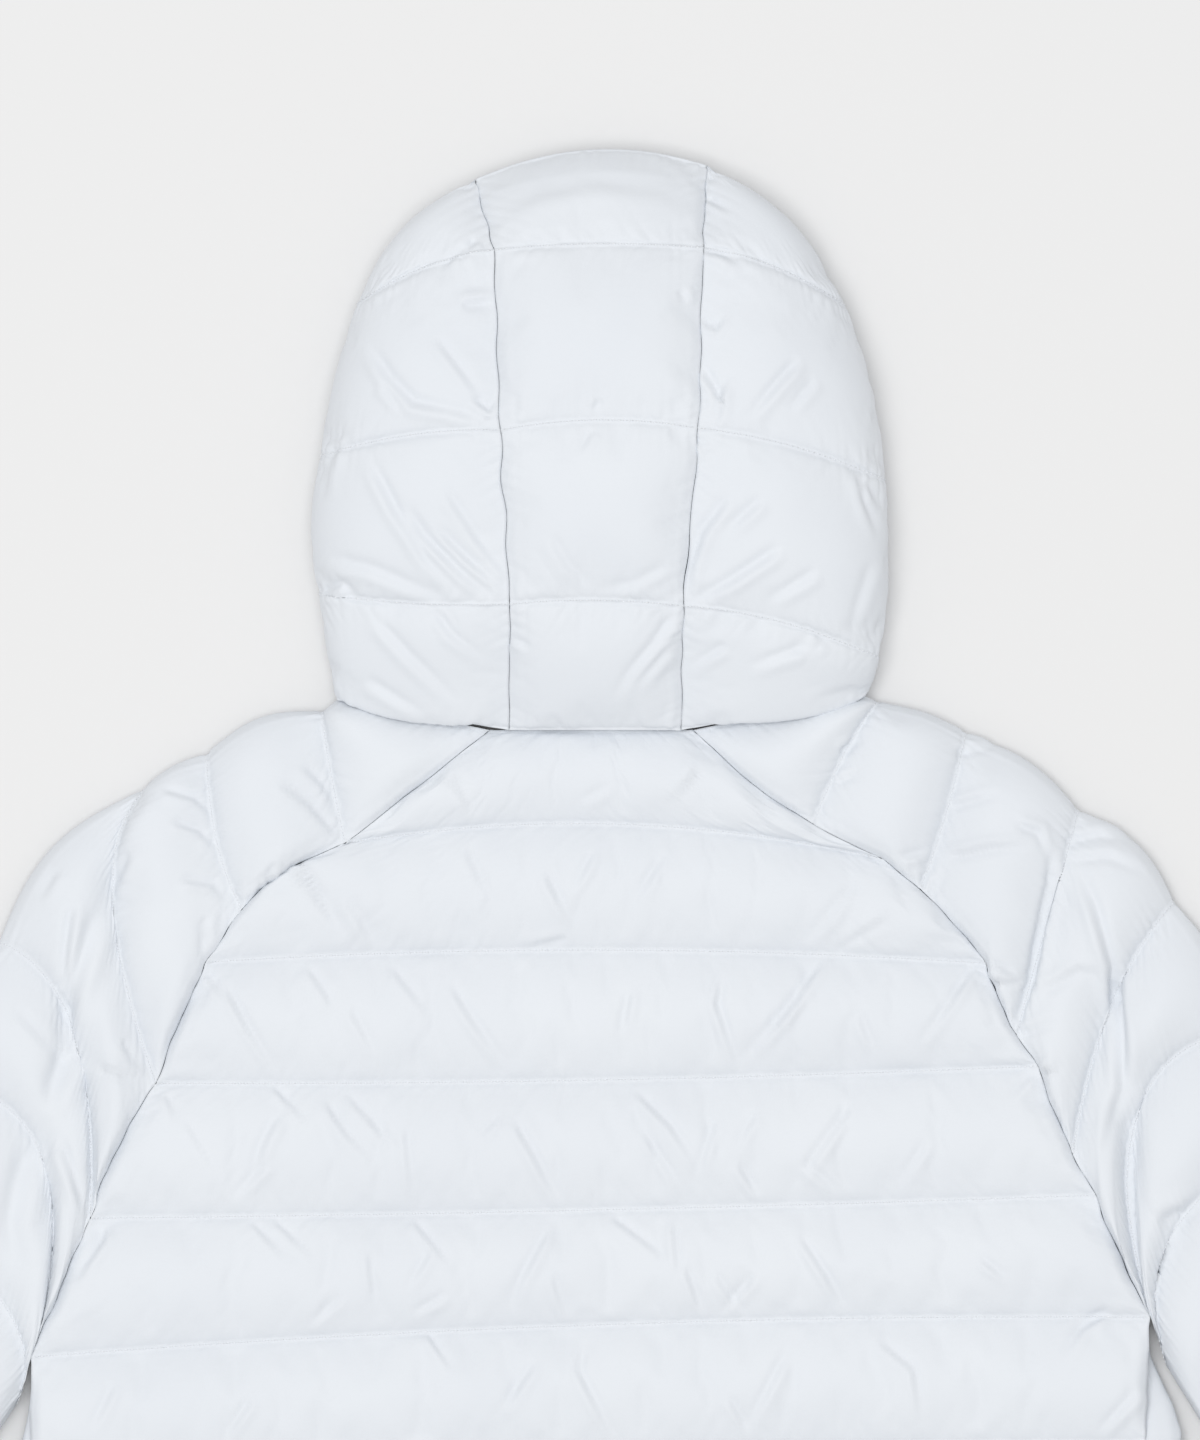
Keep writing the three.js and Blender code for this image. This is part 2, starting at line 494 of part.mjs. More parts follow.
function hoodCentreGeometry() {
  const outer = [];
  const inner = [];
  const acrossTo = (left, right, middleY, z, rise) => CENTRE_COLUMNS.map((share) => {
    const arch = 4 * share * (1 - share);
    const bow = middleY - (left.y + right.y) / 2;
    return new THREE.Vector3(
      lerp(left.x + SEAM_GAP / 2, right.x - SEAM_GAP / 2, share),
      lerp(left.y, right.y, share) + bow * arch,
      z + rise * Math.sqrt(arch),
    );
  });
  hoodRows.forEach((level, i) => {
    const neckGap = i === 0 ? SEAM_GAP / 2 : 0;
    const [left, right] = [hoodLines.left[i], hoodLines.right[i]].map((row) => {
      return new THREE.Vector2(valueAt(row, "seamX"), valueAt(row, "seamY") + neckGap);
    });
    const middleY = valueAt(level, "midY") + neckGap;
    const setIn = valueAt(level, "setIn");
    const rise = i === hoodRows.length - 1 ? 0 : HOOD_CROWN + HOOD_CREST * crestAt(level);
    outer.push(acrossTo(left, right, middleY, valueAt(level, "height"), rise));
    const down = new THREE.Vector2(0, -setIn);
    inner.push(acrossTo(left.add(down), right.add(down), middleY - setIn, hoodInnerHeight(level), 0));
  });

  // Over the top and down to the edge of the face opening
  const [leftTop, rightTop] = [HOOD_LINES.left.at(-1), HOOD_LINES.right.at(-1)];
  const top = HOOD_LEVELS.at(-1);
  const ends = [leftTop, rightTop].map(({ sideX, sideY, faceX, faceY }) => {
    return hoodUnderside(new THREE.Vector2(sideX, sideY), new THREE.Vector2(faceX, faceY), top.height, 0);
  });
  const middle = hoodUnderside(new THREE.Vector2(0, top.midY), new THREE.Vector2(0, FOREHEAD_Y), top.height, 0);
  ["outer", "inner"].forEach((face) => {
    const rows = face === "outer" ? outer : inner;
    ends[0][face].forEach((left, k) => {
      rows.push(acrossTo(left, ends[1][face][k], middle[face][k].y, left.z, 0));
    });
  });
  const last = hoodRows.length - 1;
  inner[last] = acrossTo(ends[0].rim, ends[1].rim, middle.rim.y, top.height, 0);
  return wallGeometry(outer, inner);
}

function piece(name, geometry, color, roughness, metalness = 0) {
  const mesh = new THREE.Mesh(geometry, new THREE.MeshStandardMaterial({ color, roughness, metalness }));
  mesh.name = name;
  return mesh;
}

const cloth = (name, geometry) => piece(name, geometry, SHELL_COLOUR, 0.75);

function plate(outline, thickness) {
  return new THREE.ExtrudeGeometry(outline, { depth: thickness, bevelEnabled: false });
}

function rectangle(halfWidth, low, high) {
  const outline = new THREE.Shape();
  outline.moveTo(-halfWidth, low);
  outline.lineTo(halfWidth, low);
  outline.lineTo(halfWidth, high);
  outline.lineTo(-halfWidth, high);
  return outline;
}

const wasm = await Module();
wasm.setup();

function solidOf(geometry) {
  const bare = geometry.clone();
  bare.deleteAttribute("normal");
  bare.deleteAttribute("uv");
  const merged = mergeVertices(bare);
  return new wasm.Manifold(new wasm.Mesh({
    numProp: 3,
    vertProperties: merged.getAttribute("position").array,
    triVerts: new Uint32Array(merged.getIndex().array),
  }));
}

function geometryOf(solid) {
  const { vertProperties, triVerts } = solid.getMesh();
  const geometry = new THREE.BufferGeometry();
  geometry.setAttribute("position", new THREE.BufferAttribute(vertProperties, 3));
  geometry.setIndex(new THREE.BufferAttribute(triVerts, 1));
  geometry.computeVertexNormals();
  return geometry;
}

// A round bar along X, through the pull's pivot
function pivotBar(radius, length) {
  const bar = new THREE.CylinderGeometry(radius, radius, length, PIVOT.sides);
  bar.rotateZ(Math.PI / 2);
  bar.translate(0, PIVOT.y, PIVOT.z);
  return solidOf(bar);
}

// The slider's side view, drawn out across the zip, with the lug that the pull's pin goes through
function sliderGeometry() {
  const top = ZIP_FLOOR - SEAM_GAP;
  const floor = top - SLIDER.thickness;
  const half = SLIDER.length / 2;
  const profile = new THREE.Shape();
  profile.moveTo(-half, top);
  profile.lineTo(-half, floor + SLIDER.bevel);
  profile.lineTo(-half + SLIDER.bevel, floor);
  profile.lineTo(half - SLIDER.bevel, floor);
  profile.lineTo(half, floor + SLIDER.bevel);
  profile.lineTo(half, top);
  const body = plate(profile, SLIDER.width);
  body.rotateX(Math.PI / 2);
  body.rotateZ(Math.PI / 2);
  body.translate(-SLIDER.width / 2, SLIDER.y, 0);

  const lugTop = floor + SLIDER.thickness / 2;
  const lugFloor = PIVOT.z - LUG.below;
  const lug = new THREE.BoxGeometry(LUG.width, 2 * LUG.half, lugTop - lugFloor);
  lug.translate(0, PIVOT.y, (lugTop + lugFloor) / 2);
  const whole = solidOf(body).add(solidOf(lug));
  return geometryOf(whole.subtract(pivotBar(PIVOT.hole, 2 * LUG.width)));
}

// A flat tab with two ears beside the lug, a pin between them and a slot near its rounded end
function pullGeometry() {
  const half = PULL.width / 2;
  const outline = new THREE.Shape();
  outline.moveTo(PULL.notchHalf, PULL.ear);
  outline.lineTo(PULL.notchHalf, -PULL.notchEnd);
  outline.lineTo(-PULL.notchHalf, -PULL.notchEnd);
  outline.lineTo(-PULL.notchHalf, PULL.ear);
  outline.lineTo(-half, PULL.ear);
  outline.lineTo(-half, -PULL.tail + half);
  outline.absarc(0, -PULL.tail + half, half, Math.PI, 2 * Math.PI, false);
  outline.lineTo(half, PULL.ear);
  const slot = new THREE.Path();
  slot.absarc(0, -PULL_SLOT.from, PULL_SLOT.half, 0, Math.PI, false);
  slot.absarc(0, -PULL_SLOT.to, PULL_SLOT.half, Math.PI, 2 * Math.PI, false);
  outline.holes.push(slot);
  const tab = plate(outline, PULL.thickness);
  tab.translate(0, PIVOT.y, PIVOT.z - PULL.thickness / 2);
  return geometryOf(solidOf(tab).add(pivotBar(PIVOT.pin, 2 * PULL.notchHalf + 1)));
}

function zipPieces() {
  const hem = BODY_LINES.at(-1).midY;
  const tape = piece("zip_tape", plate(rectangle(ZIP_HALF, hem, ZIP_TOP), ZIP_THICKNESS), TAPE_COLOUR, 0.8);
  tape.position.z = ZIP_FLOOR;
  return [
    tape,
    piece("zip_slider", sliderGeometry(), METAL_COLOUR, 0.35, 0.9),
    piece("zip_pull", pullGeometry(), METAL_COLOUR, 0.35, 0.9),
  ];
}

const jacket = new THREE.Group();
jacket.add(
  cloth("back", backGeometry()),
  cloth("front_left", frontGeometry("left")),
  cloth("front_right", frontGeometry("right")),
  cloth("sleeve_left", sleeveGeometry("left")),
  cloth("sleeve_right", sleeveGeometry("right")),
  cloth("hood_centre", hoodCentreGeometry()),
  cloth("hood_side_left", hoodSideGeometry("left")),
  cloth("hood_side_right", hoodSideGeometry("right")),
  ...zipPieces(),
);

// The origin is on the surface, under the middle of the jacket's box.
const box = new THREE.Box3().setFromObject(jacket);
const middle = box.getCenter(new THREE.Vector3());
jacket.position.set(-middle.x, -middle.y, -box.min.z);

export default jacket;
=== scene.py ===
# %% [markdown]
# # A white puffer jacket, laid face down
# The jacket lies on a pale floor with its hood laid up above the neck, seen from straight above. The packed
# model is the frame: it says where each panel is. Every padded panel is then made again here as fine cloth
# that swells between its stitched lines.

# %% Load the frame
import math
import time

import bpy
import numpy as np
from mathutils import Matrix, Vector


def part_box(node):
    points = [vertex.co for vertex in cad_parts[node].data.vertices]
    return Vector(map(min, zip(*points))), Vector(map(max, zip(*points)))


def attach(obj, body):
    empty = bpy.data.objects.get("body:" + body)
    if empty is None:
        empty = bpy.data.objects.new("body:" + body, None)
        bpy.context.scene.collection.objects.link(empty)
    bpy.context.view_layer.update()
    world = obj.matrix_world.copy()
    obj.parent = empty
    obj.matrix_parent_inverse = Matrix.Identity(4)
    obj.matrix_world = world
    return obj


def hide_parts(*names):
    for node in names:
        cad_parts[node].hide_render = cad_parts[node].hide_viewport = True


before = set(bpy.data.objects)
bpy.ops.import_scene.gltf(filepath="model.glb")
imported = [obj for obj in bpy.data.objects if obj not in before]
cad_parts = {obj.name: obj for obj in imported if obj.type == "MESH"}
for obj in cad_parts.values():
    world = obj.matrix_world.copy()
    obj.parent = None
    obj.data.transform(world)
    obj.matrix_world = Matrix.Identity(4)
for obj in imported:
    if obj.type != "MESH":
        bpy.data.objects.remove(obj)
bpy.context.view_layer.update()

MM = 0.001

# %% [markdown]
# ## One set of garment coordinates
# A pattern cutter measures a jacket from its centre back neck point. The tables below do the same: millimetres
# across from the middle of the back, and up from the neck seam. The zip tape shows where that point is in the
# frame, because its ends were placed from it.

# %% Garment coordinates
ZIP_TOP = -1.5
zip_low, zip_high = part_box("zip_tape")
ORIGIN = np.array([(zip_low.x + zip_high.x) / 2 / MM, zip_high.y / MM - ZIP_TOP, 0.0])


def in_frame(points):
    """Points in millimetres from the neck point, moved into the frame, in metres."""
    return (np.asarray(points, float) + ORIGIN) * MM


print("neck point in the frame", in_frame([0, 0, 0]).round(4))

# %% [markdown]
# ## Camera, floor and light
# The photograph is a flat lay: the camera hangs straight above, far enough away that the cloth shows no
# perspective, so an orthographic camera is right. The light is a bright even dome with a soft bias from the
# hood's end, which is what keeps the white cloth readable without hard shadows.

# %% Camera
PHOTO_WIDTH = 1200
PHOTO_HEIGHT = 1440
MM_PER_PIXEL = 0.5
NECK_PIXEL = (597, 730)
CAMERA_HEIGHT = 3.0

centre = in_frame([
    (PHOTO_WIDTH / 2 - NECK_PIXEL[0]) * MM_PER_PIXEL,
    (NECK_PIXEL[1] - PHOTO_HEIGHT / 2) * MM_PER_PIXEL,
    0,
])
camera_data = bpy.data.cameras.new("overhead_camera")
camera_data.type = "ORTHO"
camera_data.ortho_scale = PHOTO_HEIGHT * MM_PER_PIXEL * MM
camera_data.clip_end = 20
camera = bpy.data.objects.new("overhead_camera", camera_data)
camera.location = (centre[0], centre[1], CAMERA_HEIGHT)
bpy.context.scene.collection.objects.link(camera)
bpy.context.scene.camera = camera
print("camera above", centre.round(4))

# %% Floor and light
FLOOR_HALF = 6.0
FLOOR_DROP = 0.0003
FLOOR_COLOUR = (0.80, 0.80, 0.80, 1)
SKY_STRENGTH = 0.62


def node_material(name, colour, roughness):
    """A material with its shader's own sockets set, and its node tree to build on."""
    material = bpy.data.materials.new(name)
    material.use_nodes = True
    shader = material.node_tree.nodes["Principled BSDF"]
    shader.inputs["Base Color"].default_value = colour
    shader.inputs["Roughness"].default_value = roughness
    return material, material.node_tree, shader


def add_node(tree, kind, values=None, **settings):
    """A shader node with its settings and the values of its input sockets."""
    node = tree.nodes.new(kind)
    for name, value in settings.items():
        setattr(node, name, value)
    for name, value in (values or {}).items():
        node.inputs[name].default_value = value
    return node


def add_bump(tree, shader, height, strength, distance):
    """Bends the shader's normal by a height, which is a socket."""
    bump = add_node(tree, "ShaderNodeBump", {"Strength": strength, "Distance": distance})
    tree.links.new(height, bump.inputs["Height"])
    tree.links.new(bump.outputs["Normal"], shader.inputs["Normal"])


def add_variation(tree, shader, place, scale, dark, light):
    """Mixes two near colours by a soft noise over the object."""
    noise = add_node(tree, "ShaderNodeTexNoise", {"Scale": scale, "Detail": 3.0})
    ramp = add_node(tree, "ShaderNodeValToRGB")
    ramp.color_ramp.elements[0].position, ramp.color_ramp.elements[1].position = 0.3, 0.7
    ramp.color_ramp.elements[0].color, ramp.color_ramp.elements[1].color = dark, light
    tree.links.new(place, noise.inputs["Vector"])
    tree.links.new(noise.outputs["Fac"], ramp.inputs["Fac"])
    tree.links.new(ramp.outputs["Color"], shader.inputs["Base Color"])


def weave_height(tree, place, across, along, rumple_scale, rumple):
    """A plain weave: two sets of fine bands, crossed, plus a soft unevenness of the cloth."""
    bands = []
    for direction, scale in (("X", across), ("Y", along)):
        wave = add_node(tree, "ShaderNodeTexWave", {"Scale": scale, "Distortion": 1.2},
                        bands_direction=direction)
        tree.links.new(place, wave.inputs["Vector"])
        bands.append(wave.outputs["Fac"])
    crossed = add_node(tree, "ShaderNodeMath", operation="MULTIPLY")
    tree.links.new(bands[0], crossed.inputs[0])
    tree.links.new(bands[1], crossed.inputs[1])
    noise = add_node(tree, "ShaderNodeTexNoise", {"Scale": rumple_scale, "Detail": 4.0})
    tree.links.new(place, noise.inputs["Vector"])
    total = add_node(tree, "ShaderNodeMath", operation="MULTIPLY_ADD")
    total.inputs[1].default_value = rumple
    tree.links.new(noise.outputs["Fac"], total.inputs[0])
    tree.links.new(crossed.outputs[0], total.inputs[2])
    return total.outputs[0]


def own_place(tree):
    """The object's own coordinates, in metres, as a socket."""
    return add_node(tree, "ShaderNodeTexCoord").outputs["Object"]


def area_light(name, place, target, size, power, colour=(1, 1, 1)):
    """A square lamp at place, turned towards target."""
    data = bpy.data.lights.new(name, "AREA")
    data.shape = "SQUARE"
    data.size = size
    data.energy = power
    data.color = colour
    lamp = bpy.data.objects.new(name, data)
    lamp.location = place
    aim = np.subtract(target, place)
    lamp.rotation_euler = (
        math.atan2(math.hypot(aim[0], aim[1]), -aim[2]),
        0,
        math.atan2(aim[0], -aim[1]) + math.pi,
    )
    bpy.context.scene.collection.objects.link(lamp)
    return lamp


floor_mesh = bpy.data.meshes.new("floor")
floor_mesh.from_pydata(
    [(x * FLOOR_HALF, y * FLOOR_HALF, -FLOOR_DROP) for x, y in ((-1, -1), (1, -1), (1, 1), (-1, 1))],
    [],
    [(0, 1, 2, 3)],
)
floor = bpy.data.objects.new("floor", floor_mesh)
bpy.context.scene.collection.objects.link(floor)
floor_material, _, floor_shader = node_material("pale_floor", FLOOR_COLOUR, 0.9)
floor_shader.inputs["Specular IOR Level"].default_value = 0.0
floor_mesh.materials.append(floor_material)

world = bpy.data.worlds.new("soft_dome")
world.use_nodes = True
world.node_tree.nodes["Background"].inputs["Color"].default_value = (1.0, 1.0, 1.0, 1)
world.node_tree.nodes["Background"].inputs["Strength"].default_value = SKY_STRENGTH
bpy.context.scene.world = world
area_light("overhead_softbox", (-0.6, 0.4, 6.4), (0, 0.1, 0), 3.4, 200)
bpy.context.scene.view_settings.view_transform = "Standard"
print("floor and lights ready")

# %% [markdown]
# ## Stitched lines
# Down is kept in place by stitching the shell to the lining in lines, so a puffer jacket is a stack of
# channels. Everything here hangs on those lines: each table row is one of them, with its ends and its middle,
# and a bulge for how far the edge swells out before the next line. The tables are the pattern of the packed
# model, so each finished piece stays where its solid is.

# %% Stitched lines of the body, sleeves and hood
LEFT, RIGHT = -1, 1

# Each row: left end x, y, bulge; middle y; right end x, y, bulge
BODY_LINES = np.array([
    (-53.5, 0, 0, 0, 48, 0, -6),  # neck
    (-125.5, -56.5, 10, -47, 142, -64, 3),
    (-195, -116, 1, -110, 194.5, -116.5, -3),
    (-220.5, -176.5, 3, -175, 220.5, -168, -2),
    (-253.5, -244, 0, -240, 249, -232.5, -1),
    (-283, -313.5, 0, -297.5, 276.5, -293.5, 0),  # underarm
    (-284, -374, 1, -360, 274.5, -356, 1),
    (-284, -435, 1, -422, 273.5, -419, 1),
    (-283, -497, 1, -485, 273, -482, 1),
    (-282, -559, 1, -548, 273, -545, 1),
    (-281, -621, 1, -611, 272, -608, 1),
    (-279, -680, 0, -671, 270, -668, 0),  # hem stitching
    (-278, -700, 0, -691, 269, -688, 0),  # hem
])
UNDERARM_LINE = 5
SEAM_STEPS = 3  # a raglan seam has this many rows between two body lines

# Each row: place on the raglan seam, in rows; middle x, y; outer end x, y; bulge
RAGLAN_LINES = {
    LEFT: np.array([
        (0, -91.75, 7.5, -130, 15, 0),
        (3, -134, -16, -137, 9, 8),
        (5, -190, -56, -195, -12.5, 3),
        (9, -242, -84, -226.5, -29.5, 13),
        (12, -262, -150, -299, -106, 5),
        (15, -278, -212, -341, -172, 4),
    ]),
    RIGHT: np.array([
        (0, 91, 8.5, 134, 17, 0),
        (2, 124, -11, 140, 14, 3),
        (4, 175, -40, 184, -1.5, 6),
        (8, 227, -90, 240.5, -40, 8),
        (11, 257, -138, 288.5, -86, 5),
        (15, 271, -190, 325, -150, 4),
    ]),
}
# Each row: inner end x, y on the folded underarm; middle x, y; outer end x, y; bulge
ARM_LINES = {
    LEFT: np.array([
        (-291, -338, -299, -284, -375, -222, 4),
        (-313, -371, -345, -324, -406, -282, 4),
        (-342, -414, -384, -370, -437, -339, 4),
        (-371, -464, -415, -424, -467, -396, 4),
        (-401, -515, -446, -480, -497, -452, 4),
        (-436, -577, -480, -547, -528, -520, 0),  # cuff stitching
        (-446, -594, -489, -565, -536, -538, 0),  # cuff
    ]),
    RIGHT: np.array([
        (285, -318, 289, -250, 354, -204, 4),
        (305, -351, 329, -295, 384, -262, 4),
        (332, -393, 365, -343, 414, -317, 4),
        (361, -443, 395, -398, 444, -373, 4),
        (390, -494, 425, -454, 474, -429, 4),
        (424, -556, 460, -521, 505, -497, 0),
        (433, -573, 469, -539, 513, -515, 0),
    ]),
}

# Each row, from the neck to the top: seam x, y beside the centre panel; side x, y on the outline; bulge;
# face x, y on the edge of the face opening; bow
HOOD_LINES = {
    LEFT: np.array([
        (-44, 0, -130, 15, 1, -7.6, 0, 0),
        (-43.5, 63, -139, 68, 4, -52, 46, -2),
        (-48.5, 150, -138, 137, 2, -86, 125, 4),
        (-51.5, 240, -120, 213, 9, -74, 205, 5),
        (-61, 275, -61, 275, 0, -50, 243, 0),
    ]),
    RIGHT: np.array([
        (42, 0, 134, 17, 1, 7.6, 0, 0),
        (43, 62, 141, 36, 3, 54, 42, 5),
        (51, 151, 144, 125, 4, 86, 120, 4),
        (53, 241, 124, 212, 10, 74, 202, 5),
        (55, 282, 55, 282, 0, 48, 246, 0),
    ]),
}
# Each row: middle y, seam height, height of the outline, how far the inside is set in, lift underneath
HOOD_LEVELS = np.array([
    (0, 25, 14, 0, 3),
    (65, 54, 20, 0, 2),
    (155, 64, 22, 0, 2),
    (243, 52, 22, 0, 2),
    (290, 22, 22, 12, 0),
])
FOREHEAD_Y = 247
print("body lines", len(BODY_LINES), "sleeve lines", len(RAGLAN_LINES[LEFT]) + len(ARM_LINES[LEFT]),
      "hood lines", len(HOOD_LEVELS))

# %% Heights and gaps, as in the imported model
SEAM_GAP = 0.2
SEAM_WOBBLE = 0.5
UNDER_WALL = 13.0
OVER_FLOOR = UNDER_WALL + SEAM_GAP
SEAM_TOP = OVER_FLOOR + 4.0
SEAM_RISE = 4.0
BODY_CREST = 8.0
SLEEVE_CREST = 10.0
CHANNEL_SAG = 1.25  # down sinks, so a channel is fullest just below its middle
HOOD_CREST = 6.5
HOOD_CROWN = 3.0
HOOD_WALL = 12.0
EDGE_SWELL = 13.0
UNDER_LIFT = 3.0
SIDE_SLANT = 6.0
SIDE_TUCK = 6.0
SIDE_BULGE = {-1: 13.0, 1: 26.0}  # the right side of the front stands out further, against the sleeve
FRONT_FULL_WIDTH = 90.0
FRONT_EDGE_WIDTH = 24.0
ZIP_HALF = 7.0
OPENING_LIFT = 5.0
OPENING_ROUND = 9.0


def lerp(a, b, share):
    return a + (b - a) * share


def at(table, column, place):
    """A table's column, read between its rows at each place."""
    return np.interp(place, np.arange(len(table)), table[:, column])


def crest(place, power=0.7, sag=1.0):
    """Height of a channel across itself: a half sine between stitched lines, made fuller by the power. A sag
    above 1 moves its top towards the lower line."""
    share = place - np.floor(place)
    return np.sin(np.pi * share ** sag) ** power


def seam_rise(place):
    """The two sides of a seam meet this far above the stitched lines; at the neck they come down to them."""
    return SEAM_RISE * np.clip(4 * place, 0, 1)[:, None]


def wobble(place, seed):
    """A sewn seam wanders by up to about a millimetre: a few seeded sine waves of its place."""
    random = np.random.default_rng(seed)
    waves = random.uniform(1.2, 4.5, 5)
    phases = random.uniform(0, 2 * np.pi, 5)
    return SEAM_WOBBLE * np.sin(2 * np.pi * place[:, None] * waves + phases).sum(1) / math.sqrt(5)


def swollen_edge(table, columns, place, turn):
    """An edge between stitched lines: straight from line to line, plus a half sine outwards by the bulge."""
    x, y, bulge = columns
    start = np.clip(np.floor(place).astype(int), 0, len(table) - 2)
    way = table[start + 1][:, [x, y]] - table[start][:, [x, y]]
    way /= np.linalg.norm(way, axis=1, keepdims=True)
    swell = turn * table[start, bulge] * np.sin(np.pi * (place - start))
    points = np.stack([at(table, x, place), at(table, y, place)], 1)
    return points + np.stack([way[:, 1], -way[:, 0]], 1) * swell[:, None]


def beside(points, distance):
    """A seam's points, moved sideways by half the gap between the two pieces that it joins."""
    way = np.gradient(points, axis=0)
    way /= np.maximum(np.linalg.norm(way, axis=1, keepdims=True), 1e-9)
    return points + np.stack([way[:, 1], -way[:, 0]], 1) * distance


def body_edge(side, place):
    """The body's edge: the raglan seam down to the underarm, then the side seam."""
    columns = (0, 1, 2) if side == LEFT else (4, 5, 6)
    edge = swollen_edge(BODY_LINES, columns, place, -side)
    edge[:, 0] += wobble(place, 11 + side) * np.clip(4 * place, 0, 1)
    return edge


def body_y(place, left, right, share):
    """A stitched line bows: straight between its ends, plus a parabola through its middle."""
    bow = at(BODY_LINES, 3, place)[:, None] - (left[:, 1:] + right[:, 1:]) / 2
    return lerp(left[:, 1:], right[:, 1:], share) + 4 * bow * share * (1 - share)


def fill_from(distance):
    """0 at a sewn edge, rising to 1 in a quarter circle over the distance in which a channel fills out."""
    rest = 1 - np.clip(distance / EDGE_SWELL, 0, 1)
    return np.sqrt(1 - rest * rest)


def grid(x, y, z):
    return np.stack(np.broadcast_arrays(x, y, z), -1).astype(float)


# %% [markdown]
# ## The surfaces
# Each panel is a sheet with two parameters: a place down its stitched lines and a share of the way across.
# Working with whole arrays keeps it quick, and asking the same function for more rows gives a finer sheet.
# The outer face carries the swell of the down. The inner face is plain, because nobody sees it.

# %% Back and fronts


def back_outer(place, share):
    """x runs between the edges, y bows, z is the seam's height plus the channel's crest times the fill."""
    left = beside(body_edge(LEFT, place), -SEAM_GAP / 2)
    right = beside(body_edge(RIGHT, place), SEAM_GAP / 2)
    share = share[None, :]
    width = right[:, :1] - left[:, :1]
    fill = fill_from(np.minimum(share, 1 - share) * width)
    full = BODY_CREST * (crest(place, sag=CHANNEL_SAG)[:, None] + 0.2)
    swell = lerp(seam_rise(place), full, fill)
    neck = np.where(place == 0, SEAM_GAP / 2, 0)[:, None]
    x = lerp(left[:, :1], right[:, :1], share)
    return grid(x, body_y(place, left, right, share) - neck, SEAM_TOP + swell)


def back_inner(place, share):
    """The lining: level, and set in at the side seams, which slant through the wall."""
    left = beside(body_edge(LEFT, place), -SEAM_GAP / 2)
    right = beside(body_edge(RIGHT, place), SEAM_GAP / 2)
    share = share[None, :]
    slant = wrap_at(place)[:, None] * SIDE_SLANT
    neck = np.where(place == 0, SEAM_GAP / 2, 0)[:, None]
    x = lerp(left[:, :1] + slant, right[:, :1] - slant, share)
    return grid(x, body_y(place, left, right, share) - neck, OVER_FLOOR)


def wrap_at(place):
    """How far the body's edge has turned from a flat raglan seam, 0, to a side seam on top, 1."""
    return np.clip(place - UNDERARM_LINE, 0, 1)


def under_lift(place, lift):
    """Stitching stays off the floor by this lift; a channel rests on it over the middle of its width."""
    return lift * np.maximum(0, 1 - crest(place) / 0.9)


def front_outer(side):
    """From the zip along the floor, then up the raglan seam's edge or round the side to the seam on top."""

    def surface(place, column):
        edge = beside(body_edge(side, place), side * SEAM_GAP / 2)
        left, right = body_edge(LEFT, place), body_edge(RIGHT, place)
        wrap = wrap_at(place)[:, None]
        lift = under_lift(place, UNDER_LIFT)[:, None]
        edge_x = edge[:, :1] + side * wrap * SEAM_GAP
        room = np.minimum(1, np.abs(edge_x) / FRONT_FULL_WIDTH)
        drawn_in = 0.75 + 0.25 * crest(place)[:, None]
        flat = np.clip(column, 0, 1)[None, :]
        turn = np.clip(column - 1, 0, 1)[None, :]
        start = lerp(FRONT_EDGE_WIDTH * room, SIDE_TUCK * drawn_in, wrap)
        opening = side * (ZIP_HALF + SEAM_GAP)
        along = lerp(opening, edge_x - side * start, flat)
        from_zip = np.abs(along - opening)
        flat_z = lift + OPENING_LIFT * np.clip(1 - from_zip / OPENING_ROUND, 0, 1) ** 2

        angle = np.pi * (turn - 0.5)
        tuck = SIDE_TUCK * drawn_in * (1 - np.sin(angle)) / 2
        round_out = SIDE_BULGE[side] * drawn_in * np.cos(angle) - tuck
        round_z = (SEAM_TOP - SEAM_GAP + seam_rise(place)) * (1 + np.sin(angle)) / 2
        seam_out = -FRONT_EDGE_WIDTH * room * (1 - turn)
        seam_z = UNDER_LIFT * turn ** 2
        out = lerp(seam_out, round_out, wrap)
        edge_z = np.maximum(lift * (1 - turn), lerp(seam_z, round_z, wrap))
        x = np.where(column[None, :] <= 1, along, edge_x + side * out)
        z = np.where(column[None, :] <= 1, flat_z, edge_z)
        across = np.clip((x - left[:, :1]) / (right[:, :1] - left[:, :1]), 0, 1)
        neck = np.where(place == 0, SEAM_GAP / 2, 0)[:, None]
        return grid(x, body_y(place, left, right, across) - neck, z)

    return surface


def front_inner(side):
    """The front's lining, level at the height of the lower layer."""

    def surface(place, column):
        edge = beside(body_edge(side, place), side * SEAM_GAP / 2)
        left, right = body_edge(LEFT, place), body_edge(RIGHT, place)
        inner_x = edge[:, :1] - side * wrap_at(place)[:, None] * (SIDE_SLANT - SEAM_GAP)
        x = lerp(side * (ZIP_HALF + SEAM_GAP), inner_x, column[None, :] / 2)
        across = np.clip((x - left[:, :1]) / (right[:, :1] - left[:, :1]), 0, 1)
        neck = np.where(place == 0, SEAM_GAP / 2, 0)[:, None]
        return grid(x, body_y(place, left, right, across) - neck, UNDER_WALL)

    return surface


# %% Sleeves
SLEEVE_EDGE_Z = 9.0
SLEEVE_ROUNDING = 3
# Line where the fold starts and ends, share across, width as a share, depth
SLEEVE_FOLD = {LEFT: (2.6, 7.0, 0.46, 0.14, 4.0), RIGHT: (3.2, 6.6, 0.42, 0.14, 4.0)}
SLEEVE_LINES = {side: np.vstack([RAGLAN_LINES[side][:, 1:], ARM_LINES[side][:, 2:]])
                for side in (LEFT, RIGHT)}
SLEEVE_END_LINE = 5


